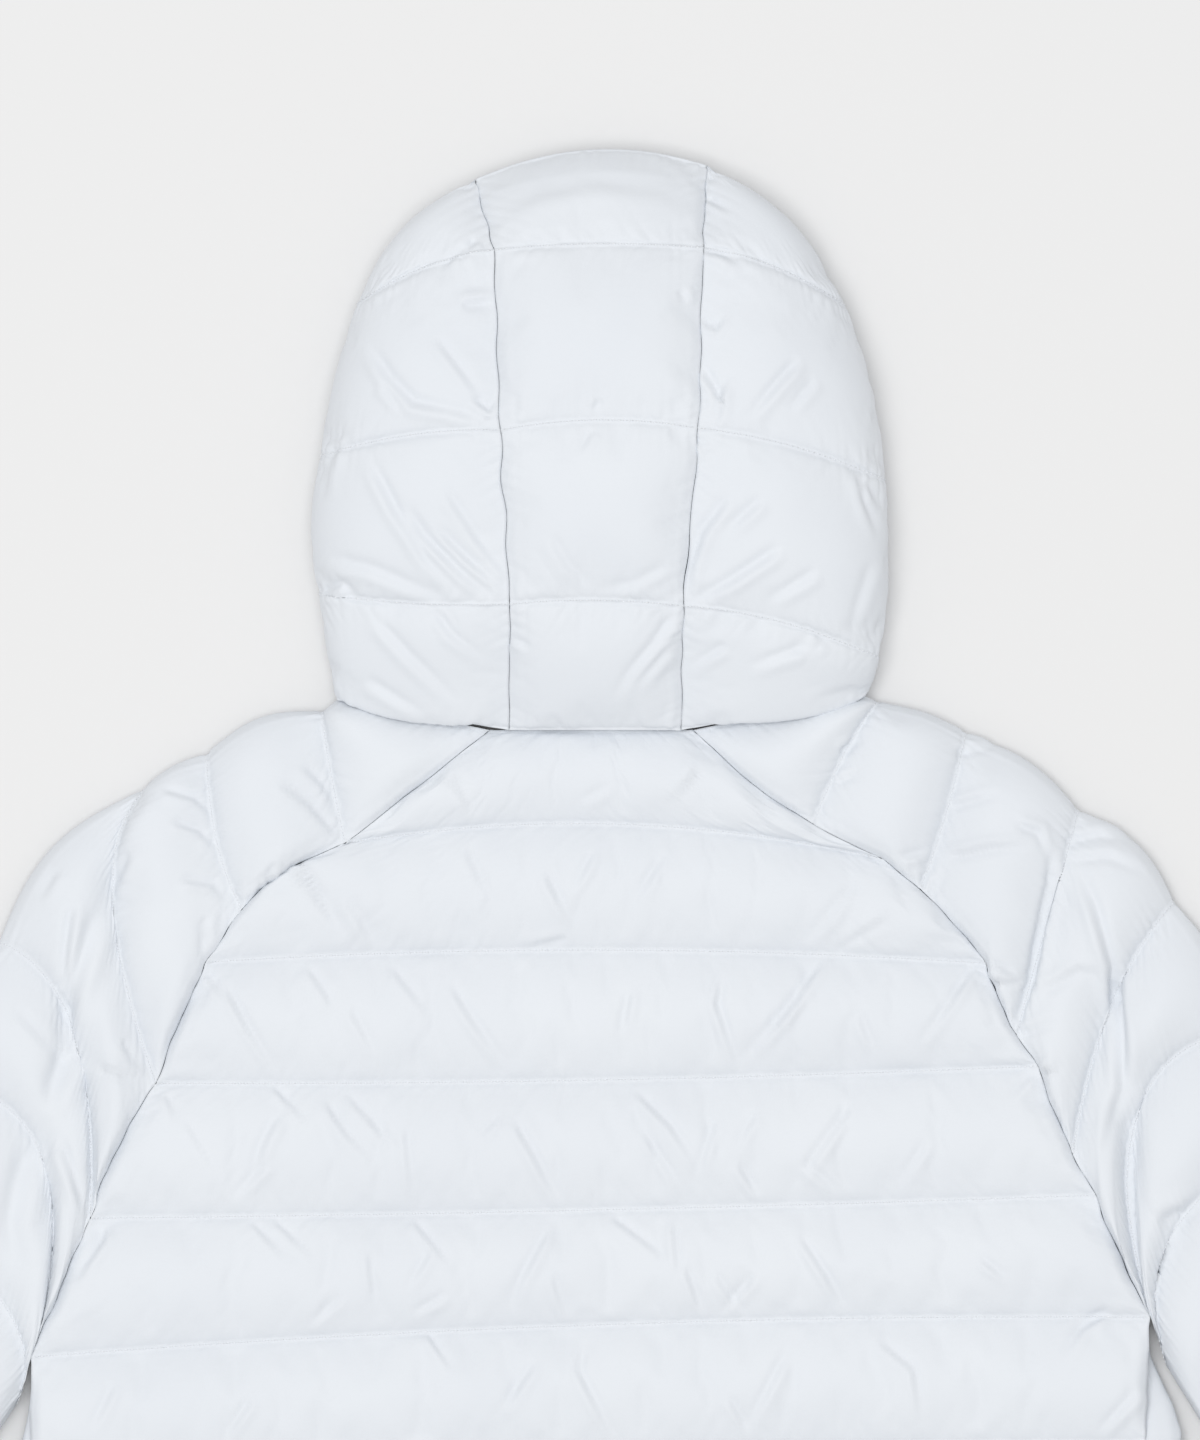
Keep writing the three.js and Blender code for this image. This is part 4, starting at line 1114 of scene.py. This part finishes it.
# Points in pixels, then depth and width in millimetres
BACK_CREASES = [
    ([(448, 773), (474, 817)], 1.2, 2.6),
    ([(700, 767), (669, 804)], 1.2, 2.6),
    ([(611, 788), (580, 804)], -1.0, 2.6),
    ([(293, 860), (317, 899), (338, 930)], 2.0, 2.6),
    ([(343, 896), (375, 948)], 1.5, 2.8),
    ([(464, 846), (495, 915)], 1.2, 2.6),
    ([(543, 872), (569, 922)], 1.7, 2.6),
    ([(595, 851), (574, 893)], -1.2, 2.4),
    ([(664, 857), (637, 901)], -1.5, 2.6),
    ([(569, 936), (522, 946)], 1.0, 2.2),
    ([(858, 883), (806, 946)], -1.5, 2.8),
    ([(890, 915), (832, 950)], 1.2, 2.6),
    ([(204, 972), (225, 1004)], 1.3, 2.4),
    ([(222, 983), (248, 1030), (275, 1074)], 2.0, 2.4),
    ([(306, 967), (338, 1014)], 1.4, 2.4),
    ([(348, 1007), (375, 1056)], 1.4, 2.6),
    ([(390, 967), (427, 1014)], 1.4, 2.6),
    ([(448, 983), (474, 1025), (506, 1067)], 1.8, 2.6),
    ([(632, 988), (622, 1041)], -1.4, 2.4),
    ([(721, 972), (716, 1004), (737, 1070)], 1.8, 2.4),
    ([(827, 957), (785, 1014), (743, 1062)], -2.0, 2.8),
    ([(806, 993), (764, 1041)], -1.2, 2.2),
    ([(969, 978), (921, 1046)], -1.7, 2.4),
    ([(858, 1014), (874, 1056)], 1.2, 2.4),
    ([(271, 1086), (308, 1123)], 1.5, 2.2),
    ([(279, 1115), (264, 1145), (253, 1180)], -1.8, 3.0),
    ([(323, 1100), (345, 1134), (374, 1162)], 1.7, 2.4),
    ([(345, 1094), (374, 1126), (400, 1156)], 1.5, 2.2),
    ([(404, 1126), (411, 1195)], 1.2, 2.4),
    ([(511, 1119), (533, 1156), (559, 1207)], 1.9, 2.6),
    ([(500, 1119), (478, 1137)], -1.2, 2.2),
    ([(632, 1090), (669, 1126), (699, 1171)], 1.8, 2.6),
    ([(640, 1130), (684, 1195)], 1.4, 2.4),
    ([(717, 1119), (699, 1175)], -1.4, 2.4),
    ([(758, 1112), (739, 1145)], -1.2, 2.2),
    ([(736, 1163), (758, 1198)], 1.4, 2.2),
    ([(854, 1104), (817, 1156), (795, 1190)], -1.8, 2.6),
    ([(802, 1163), (839, 1195)], 1.4, 2.4),
    ([(271, 1163), (234, 1198)], -1.4, 2.6),
    ([(183, 1119), (220, 1180)], 1.0, 2.4),
    ([(930, 1140), (900, 1186)], -1.2, 2.6),
    ([(249, 1221), (286, 1259)], 1.3, 2.2),
    ([(271, 1219), (315, 1259)], 1.2, 2.2),
    ([(367, 1250), (374, 1305)], 1.3, 2.4),
    ([(411, 1219), (452, 1268)], 1.6, 2.4),
    ([(433, 1248), (408, 1291)], -1.3, 2.4),
    ([(551, 1226), (522, 1281), (511, 1313)], -1.8, 2.6),
    ([(551, 1274), (566, 1320)], 1.3, 2.4),
    ([(610, 1217), (669, 1261)], 1.5, 2.4),
    ([(673, 1222), (677, 1276)], 1.5, 2.2),
    ([(684, 1266), (702, 1316)], 1.5, 2.2),
    ([(758, 1274), (721, 1316)], -1.5, 2.4),
    ([(798, 1235), (824, 1274), (846, 1313)], 2.0, 2.4),
    ([(979, 1259), (1008, 1281)], 1.6, 2.2),
    ([(345, 1296), (308, 1330)], -1.2, 2.4),
    ([(448, 1296), (411, 1316)], -1.3, 2.2),
    ([(713, 1274), (743, 1316)], 1.4, 2.4),
    ([(426, 1333), (452, 1372)], 1.6, 2.2),
    ([(253, 1399), (227, 1438)], -1.6, 2.4),
    ([(581, 1338), (577, 1370), (603, 1421), (616, 1446)], 1.9, 2.6),
    ([(537, 1362), (500, 1416)], -1.6, 2.6),
    ([(787, 1355), (750, 1427)], -1.6, 2.6),
    ([(728, 1399), (747, 1431)], 1.4, 2.2),
    ([(876, 1340), (913, 1370), (920, 1425)], 1.7, 2.6),
    ([(1112, 1311), (1082, 1330), (1065, 1357)], -2.0, 2.8),
    ([(1141, 1390), (1097, 1438)], -1.8, 2.8),
    ([(116, 1384), (92, 1432)], -1.4, 2.6),
    ([(106, 1226), (104, 1240), (74, 1284)], -2.2, 2.8),
    ([(164, 1094), (176, 1120)], 1.4, 2.4),
    ([(1034, 1074), (1010, 1100)], -1.4, 2.6),
    ([(976, 968), (950, 1000)], -1.4, 2.6),
]
HOOD_LEFT_CREASES = [
    ([(365, 345), (388, 380), (412, 404), (488, 420)], 2.6, 3.2),
    ([(433, 337), (455, 365), (484, 404)], 1.6, 2.8),
    ([(379, 385), (404, 415)], 1.6, 2.4),
    ([(460, 302), (500, 299)], -2.0, 2.6),
    ([(470, 398), (490, 412), (500, 390)], 1.8, 2.2),
    ([(366, 458), (394, 512), (425, 560), (466, 600)], 2.4, 3.0),
    ([(402, 506), (421, 536), (462, 576), (498, 604)], 2.8, 3.0),
    ([(434, 528), (466, 560), (504, 592)], 2.2, 2.6),
    ([(324, 560), (370, 571), (420, 592), (450, 604)], 2.0, 3.4),
    ([(442, 488), (478, 542), (508, 580)], 1.6, 2.8),
    ([(320, 596), (340, 588), (358, 603)], 2.8, 3.0),
    ([(370, 616), (406, 656), (458, 706)], 1.8, 3.0),
    ([(434, 612), (450, 636), (482, 660)], 1.6, 2.6),
    ([(362, 680), (398, 702), (426, 718)], 1.6, 2.8),
    ([(478, 240), (460, 262)], -1.8, 2.4),
    ([(466, 246), (440, 272)], -1.4, 2.2),
    ([(342, 440), (330, 470), (326, 500)], -1.4, 2.6),
    ([(480, 180), (500, 200), (498, 222)], 1.4, 2.2),
]
HOOD_RIGHT_CREASES = [
    ([(700, 322), (716, 330), (728, 316)], 2.0, 2.4),
    ([(700, 368), (718, 396), (732, 376)], 2.4, 2.6),
    ([(724, 388), (719, 424)], -1.8, 2.6),
    ([(802, 360), (778, 386), (750, 420)], -2.4, 2.8),
    ([(818, 380), (790, 412)], -1.4, 2.6),
    ([(688, 440), (708, 448)], 2.0, 2.4),
    ([(732, 496), (704, 532), (692, 568), (688, 600)], -2.4, 3.0),
    ([(764, 500), (728, 532)], -2.0, 2.8),
    ([(784, 548), (736, 580), (692, 604)], -2.6, 3.0),
    ([(820, 572), (768, 604)], -1.8, 3.0),
    ([(854, 468), (862, 500), (878, 540)], 1.8, 2.6),
    ([(864, 480), (880, 512)], 1.4, 2.2),
    ([(728, 646), (692, 668)], -1.6, 2.6),
    ([(808, 648), (748, 670)], -1.6, 3.0),
    ([(700, 250), (722, 256), (744, 270)], 1.8, 2.6),
    ([(706, 200), (730, 214)], 1.4, 2.4),
    ([(876, 560), (850, 640)], -1.2, 3.0),
]
HOOD_CENTRE_CREASES = [
    ([(500, 216), (540, 196), (600, 186), (660, 194), (696, 214)], 1.4, 5.0),
    ([(598, 398), (592, 410)], 1.0, 2.0),
    ([(594, 430), (578, 456)], -1.0, 2.4),
    ([(548, 536), (566, 566), (590, 590)], 1.2, 3.0),
    ([(672, 566), (634, 586), (596, 592)], -1.2, 3.0),
    ([(680, 610), (656, 646), (632, 674), (616, 702)], -2.0, 3.0),
    ([(672, 648), (636, 690)], -1.4, 2.6),
    ([(512, 640), (530, 652)], 1.2, 2.4),
    ([(682, 288), (690, 304)], -1.2, 2.2),
]
SLEEVE_LEFT_CREASES = [
    ([(276, 781), (308, 805), (338, 840)], 2.2, 2.6),
    ([(300, 764), (320, 784), (334, 806)], 1.4, 2.2),
    ([(110, 899), (96, 935), (77, 988), (70, 1027), (70, 1065), (56, 1104)], -3.2, 5.0),
    ([(74, 1052), (60, 1086), (54, 1114)], -3.6, 5.5),
    ([(38, 1144), (24, 1188), (17, 1224), (27, 1268)], -4.0, 6.0),
    ([(75, 902), (67, 959), (65, 1000)], -2.4, 3.0),
    ([(58, 1140), (72, 1180), (84, 1218)], 2.6, 2.8),
    ([(207, 916), (207, 959)], -1.8, 2.4),
    ([(96, 1065), (146, 1080)], -1.6, 2.6),
    ([(132, 850), (112, 900)], -1.6, 3.0),
    ([(152, 792), (128, 822), (116, 856)], -1.6, 4.0),
    ([(180, 880), (212, 886), (226, 902)], 1.8, 2.6),
    ([(160, 790), (194, 800), (214, 818)], 1.6, 2.4),
    ([(170, 822), (198, 832), (216, 850)], 1.6, 2.4),
    ([(268, 884), (276, 864)], 1.4, 2.4),
    ([(60, 870), (40, 902)], -1.4, 3.0),
    ([(12, 1010), (60, 1060)], 1.2, 3.0),
    ([(120, 1040), (134, 1066)], 1.4, 2.4),
]
SLEEVE_RIGHT_CREASES = [
    ([(1056, 844), (1054, 882), (1044, 930), (1034, 984), (1016, 1028)], -3.2, 2.8),
    ([(1073, 866), (1092, 906), (1110, 968), (1117, 1027), (1119, 1089), (1094, 1168)], 3.0, 3.4),
    ([(1121, 1089), (1136, 1120), (1138, 1171), (1143, 1230), (1148, 1290)], -2.8, 7.0),
    ([(1116, 964), (1122, 1030), (1128, 1084)], -3.0, 4.0),
    ([(1154, 1220), (1179, 1208), (1200, 1198)], -2.2, 4.0),
    ([(944, 856), (990, 846), (1032, 842)], -2.0, 2.6),
    ([(954, 752), (1000, 742)], -1.4, 2.4),
    ([(948, 806), (1000, 790)], -1.6, 2.4),
    ([(1016, 822), (1040, 830), (1050, 856)], -1.8, 2.4),
    ([(1064, 840), (1100, 832), (1138, 838)], -1.6, 2.6),
    ([(1066, 858), (1110, 854), (1150, 872)], -1.4, 2.6),
    ([(1040, 990), (1078, 968), (1100, 972)], -1.8, 2.8),
    ([(1018, 1034), (1056, 1016)], -1.6, 2.6),
    ([(1040, 1072), (1062, 1066)], -1.4, 2.4),
    ([(838, 752), (860, 736)], -1.4, 2.4),
    ([(834, 782), (858, 770)], -1.4, 2.2),
    ([(926, 898), (944, 868)], -1.6, 2.4),
    ([(990, 966), (1014, 974)], 1.6, 2.2),
    ([(984, 980), (1012, 982), (1026, 976)], -1.4, 2.2),
    ([(900, 860), (930, 852)], 1.6, 2.4),
]
CREASES = {
    "back": BACK_CREASES,
    "hood_side_left": HOOD_LEFT_CREASES,
    "hood_side_right": HOOD_RIGHT_CREASES,
    "hood_centre": HOOD_CENTRE_CREASES,
    "sleeve_left": SLEEVE_LEFT_CREASES,
    "sleeve_right": SLEEVE_RIGHT_CREASES,
}
print("creases placed by hand", sum(len(lines) for lines in CREASES.values()))

# %% Gathers and seams
GATHER_LENGTH = 9.0
GATHER_HEIGHT = {"back": 0.28, "front": 0.3, "hood": 0.45, "sleeve": 0.55}
SEAM_GATHER_HEIGHT = {"back": 0.45, "front": 0.4, "hood": 0.5, "sleeve": 0.5}
NARROW, WIDE = 16.0, 42.0  # gathers flatten where two stitched lines run together
GROOVE_DEPTH, GROOVE_HALF = 0.6, 2.0
PINCH_HEIGHT, PINCH_HALF = 0.9, 0.8


def ridged_noise(distance, seed, wave):
    """Uneven sharp puckers along a line: the positive half of a few seeded sine waves of near lengths."""
    random = np.random.default_rng(seed)
    total = np.zeros_like(distance)
    for _ in range(5):
        length = wave * random.uniform(0.6, 1.9)
        total += np.sin(2 * np.pi * distance / length + random.uniform(0, 2 * np.pi))
    return np.abs(total) / 2 - 0.6


def sewn_relief(panel, points, place, column):
    """Gathers beside stitched lines and seams, and the groove that the stitching pulls into the cloth."""
    kind = panel.node.split("_")[0]
    distance, nearest, width = line_distance(points, place)
    across = along_rows(points)
    relief = np.zeros(points.shape[:2])
    for number in np.unique(nearest):
        rows = nearest == number
        middle = across[np.flatnonzero(rows)[0]]
        noise = ridged_noise(middle, 100 + number, 9.0)
        slant = ridged_noise(middle + 0.6 * distance[rows], 300 + number, 15.0)
        fade = np.exp(-distance[rows] / GATHER_LENGTH)
        relief[rows] = GATHER_HEIGHT[kind] * (noise[None, :] + 0.8 * slant) * fade
    relief *= 1 - np.exp(-((distance / 1.5) ** 2))
    relief -= GROOVE_DEPTH * np.exp(-((distance / GROOVE_HALF) ** 2))
    relief += PINCH_HEIGHT * np.exp(-((distance / PINCH_HALF) ** 2))
    relief *= np.clip((width - NARROW) / (WIDE - NARROW), 0, 1)

    down = np.concatenate([[0], np.cumsum(np.linalg.norm(np.diff(points[:, 0], axis=0), axis=-1))])
    ends = [across]
    if column[-1] <= 1:
        ends.append(across[:, -1:] - across)
    for number, from_seam in enumerate(ends):
        noise = ridged_noise(down[:, None] + 0.5 * from_seam, 500 + number, 11.0)
        relief += SEAM_GATHER_HEIGHT[kind] * noise * np.exp(-from_seam / GATHER_LENGTH) * (from_seam > 0.5)
    return relief


def dressed(panel, points, place, column):
    """The finished outer face: creases and gathers, moved along the normals, and never into the floor."""
    height = np.zeros(points.shape[:2])
    for line, depth, width in CREASES.get(panel.node, []):
        height += crease(points, line, depth, width)
    channel_width = line_distance(points, place)[2]
    height *= np.clip(channel_width / CREASE_ROOM, 0, 1)
    height += sewn_relief(panel, points, place, column)
    free = np.clip((points[..., 2] - REST_HEIGHT) / REST_HEIGHT, 0, 1)
    looks_up = not panel.node.startswith("front")
    moved = points + normals(points, looks_up) * (height * free)[..., None]
    moved[..., 2] = np.maximum(moved[..., 2], 0.0)
    return moved


# %% [markdown]
# ## Sewing thread
# A quilting machine leaves stitches about three millimetres long. Each is a small spindle that lies on the
# cloth, and thousands of them are one mesh, worked out at once from the lines they follow.

# %% Stitches
STITCH_PITCH = 3.0
STITCH_LENGTH = 2.5
STITCH_RADIUS = 0.3
STITCH_SIDES = 5
# The thread is white, and its colour is also set lighter than the shell's as a painted highlight, so that each
# stitched line reads as a bright line.
thread_and_highlight_material, thread_tree, thread_shader = node_material("thread_with_painted_highlight", (0.86, 0.88, 0.91, 1), 0.45)
thread_place = own_place(thread_tree)
add_variation(thread_tree, thread_shader, thread_place, 900.0, (0.80, 0.83, 0.87, 1), (0.90, 0.91, 0.93, 1))


def stitches_on(path, normal):
    """Centres, directions and normals of the stitches on a path, evenly spaced by its own length."""
    steps = np.linalg.norm(np.diff(path, axis=0), axis=1)
    length = np.concatenate([[0], np.cumsum(steps)])
    at_length = np.arange(STITCH_PITCH, length[-1] - STITCH_PITCH, STITCH_PITCH)
    if len(at_length) == 0:
        return np.empty((0, 3, 3))

    def read(values, where):
        return np.stack([np.interp(where, length, values[:, k]) for k in range(3)], 1)

    way = read(path, at_length + 0.5) - read(path, at_length - 0.5)
    way /= np.linalg.norm(way, axis=1, keepdims=True)
    up = read(normal, at_length)
    up -= way * (up * way).sum(1, keepdims=True)
    up /= np.maximum(np.linalg.norm(up, axis=1, keepdims=True), 1e-9)
    return np.stack([read(path, at_length), way, up], 1)


def thread_object(name, stitches):
    """Spindles: a ring round the middle of each stitch and a point at each end."""
    centre, way, up = stitches[:, 0], stitches[:, 1], stitches[:, 2]
    centre = centre + up * STITCH_RADIUS * 0.5
    beside_way = np.cross(way, up)
    angle = 2 * np.pi * np.arange(STITCH_SIDES) / STITCH_SIDES
    ring = centre[:, None] + STITCH_RADIUS * (
        np.cos(angle)[None, :, None] * up[:, None] + np.sin(angle)[None, :, None] * beside_way[:, None]
    )
    tips = centre[:, None] + np.array([-0.5, 0.5])[None, :, None] * STITCH_LENGTH * way[:, None]
    points = np.concatenate([ring, tips], 1)
    k = np.arange(STITCH_SIDES)
    after = (k + 1) % STITCH_SIDES
    one = np.concatenate([
        np.stack([k, after, np.full(STITCH_SIDES, STITCH_SIDES)], 1),
        np.stack([after, k, np.full(STITCH_SIDES, STITCH_SIDES + 1)], 1),
    ])
    faces = one[None] + (np.arange(len(stitches)) * (STITCH_SIDES + 2))[:, None, None]
    made = new_mesh_object(name, points.reshape(-1, 3), [faces.reshape(-1, 3)], thread_and_highlight_material)
    print(name, len(stitches), "stitches")
    return made


def quilting(panel, outer, place, column):
    """Stitches on each stitched line of a panel, where it lies open to the air."""
    up = normals(outer, not panel.node.startswith("front"))
    found = []
    for row in np.flatnonzero(is_line(place))[1:-1]:
        if place[row] > len(HOOD_LEVELS) - 2 and panel.node.startswith("hood"):
            continue
        shown = column <= 1
        found.append(stitches_on(outer[row][shown], up[row][shown]))
    return [stitches for stitches in found if len(stitches)]


FINISHED = {}
STITCHES = []
for panel in panels:
    rows, columns = fine_places(panel)
    sharp = is_line(panel.place) & (panel.place <= len(BODY_LINES) - 1)
    outer = resample(panel.points, rows, 0, sharp)
    outer = resample(outer, columns, 1)
    place = np.interp(rows, np.arange(len(panel.place)), panel.place)
    column = np.interp(columns, np.arange(len(panel.column)), panel.column)
    outer = dressed(panel, outer, place, column)
    STITCHES.extend(quilting(panel, outer, place, column))
    lining = panel.inner(place[::LINING_STEP // 2], column[::LINING_STEP])
    closed = None
    if panel.closed_from is not None:
        closed = int(np.argmin(np.abs(place - SLEEVE_END_LINE)))
    made = padded_panel("quilted_" + panel.node, outer, lining, shell_material, closed)
    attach(made, "jacket")
    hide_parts(panel.node)
    FINISHED[panel.node] = made

# %% Thread
thread = thread_object("sewing_thread", np.concatenate(STITCHES))
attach(thread, "jacket")

# %% [markdown]
# ## Zip
# The zip lies face down under the middle of the jacket, closed. Its tape is a woven ribbon, and its teeth are
# moulded in two rows that mesh, one blunt tooth every three millimetres on each side. The teeth are one mesh
# of small boxes with their edges drawn in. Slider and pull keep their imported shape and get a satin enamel.

# %% Zip
TOOTH_PITCH = 3.0
TOOTH_REACH, TOOTH_WIDTH = 2.8, 1.1
TOOTH_HEIGHT, TOOTH_SUNK = 1.1, 0.1
TOOTH_OFFSET = 0.7
TOOTH_DRAW = 0.8  # the outer end of a tooth, as a share of its root
SLIDER_ROOM = 1.0

tape_low, tape_high = (np.array(corner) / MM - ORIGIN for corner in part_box("zip_tape"))
slider_low, slider_high = (np.array(corner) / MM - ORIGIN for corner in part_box("zip_slider"))


def zip_teeth():
    """Teeth from both sides in turn, down the tape and not where the slider is: each is a box with a drawn-in
    end, sunk a little into the tape."""
    down = np.arange(tape_high[1] - TOOTH_PITCH, tape_low[1] + TOOTH_PITCH, -TOOTH_PITCH / 2)
    side = np.where(np.arange(len(down)) % 2 == 0, 1.0, -1.0)
    clear = (down < slider_low[1] - SLIDER_ROOM) | (down > slider_high[1] + SLIDER_ROOM)
    down, side = down[clear], side[clear]
    corner = np.array([(-1, -1), (1, -1), (1, 1), (-1, 1)], float) / 2
    layers = []
    for height, draw in ((TOOTH_SUNK, 1.0), (-TOOTH_HEIGHT, TOOTH_DRAW)):
        x = side[:, None] * TOOTH_OFFSET + corner[None, :, 0] * TOOTH_REACH * draw
        y = down[:, None] + corner[None, :, 1] * TOOTH_WIDTH * draw
        layers.append(np.stack([x, y, np.full_like(x, tape_low[2] + height)], -1))
    points = np.concatenate(layers, 1).reshape(-1, 3)
    box = np.array([(0, 1, 2, 3), (4, 7, 6, 5), (0, 4, 5, 1), (1, 5, 6, 2), (2, 6, 7, 3), (3, 7, 4, 0)])
    faces = (box[None] + 8 * np.arange(len(down))[:, None, None]).reshape(-1, 4)
    return points, faces


tape_material, tape_tree, tape_shader = node_material("woven_tape", (0.74, 0.77, 0.81, 1), 0.75)
tape_place = own_place(tape_tree)
add_variation(tape_tree, tape_shader, tape_place, 60.0, (0.71, 0.745, 0.79, 1), (0.76, 0.79, 0.83, 1))
add_bump(tape_tree, tape_shader, weave_height(tape_tree, tape_place, 330, 240, 400, 0.6), 0.6, 0.0003)

tooth_material, tooth_tree, tooth_shader = node_material("moulded_teeth", (0.78, 0.81, 0.85, 1), 0.32)
tooth_place = own_place(tooth_tree)
add_variation(tooth_tree, tooth_shader, tooth_place, 220.0, (0.75, 0.78, 0.82, 1), (0.80, 0.83, 0.87, 1))

enamel_material, enamel_tree, enamel_shader = node_material("satin_enamel", (0.78, 0.80, 0.84, 1), 0.3)
enamel_shader.inputs["Coat Weight"].default_value = 0.3
enamel_place = own_place(enamel_tree)
add_variation(enamel_tree, enamel_shader, enamel_place, 180.0, (0.70, 0.72, 0.76, 1), (0.80, 0.82, 0.86, 1))
enamel_noise = add_node(enamel_tree, "ShaderNodeTexNoise", {"Scale": 900.0, "Detail": 5.0})
enamel_tree.links.new(enamel_place, enamel_noise.inputs["Vector"])
add_bump(enamel_tree, enamel_shader, enamel_noise.outputs["Fac"], 0.15, 0.0001)

for node, material in (
    ("zip_tape", tape_material), ("zip_slider", enamel_material), ("zip_pull", enamel_material),
):
    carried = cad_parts[node]
    carried.data.materials.clear()
    carried.data.materials.append(material)

tooth_points, tooth_faces = zip_teeth()
teeth = new_mesh_object("zip_teeth", tooth_points, [tooth_faces], tooth_material)
teeth.data.shade_flat()
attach(teeth, "jacket")
print("zip teeth", len(tooth_faces) // 6)
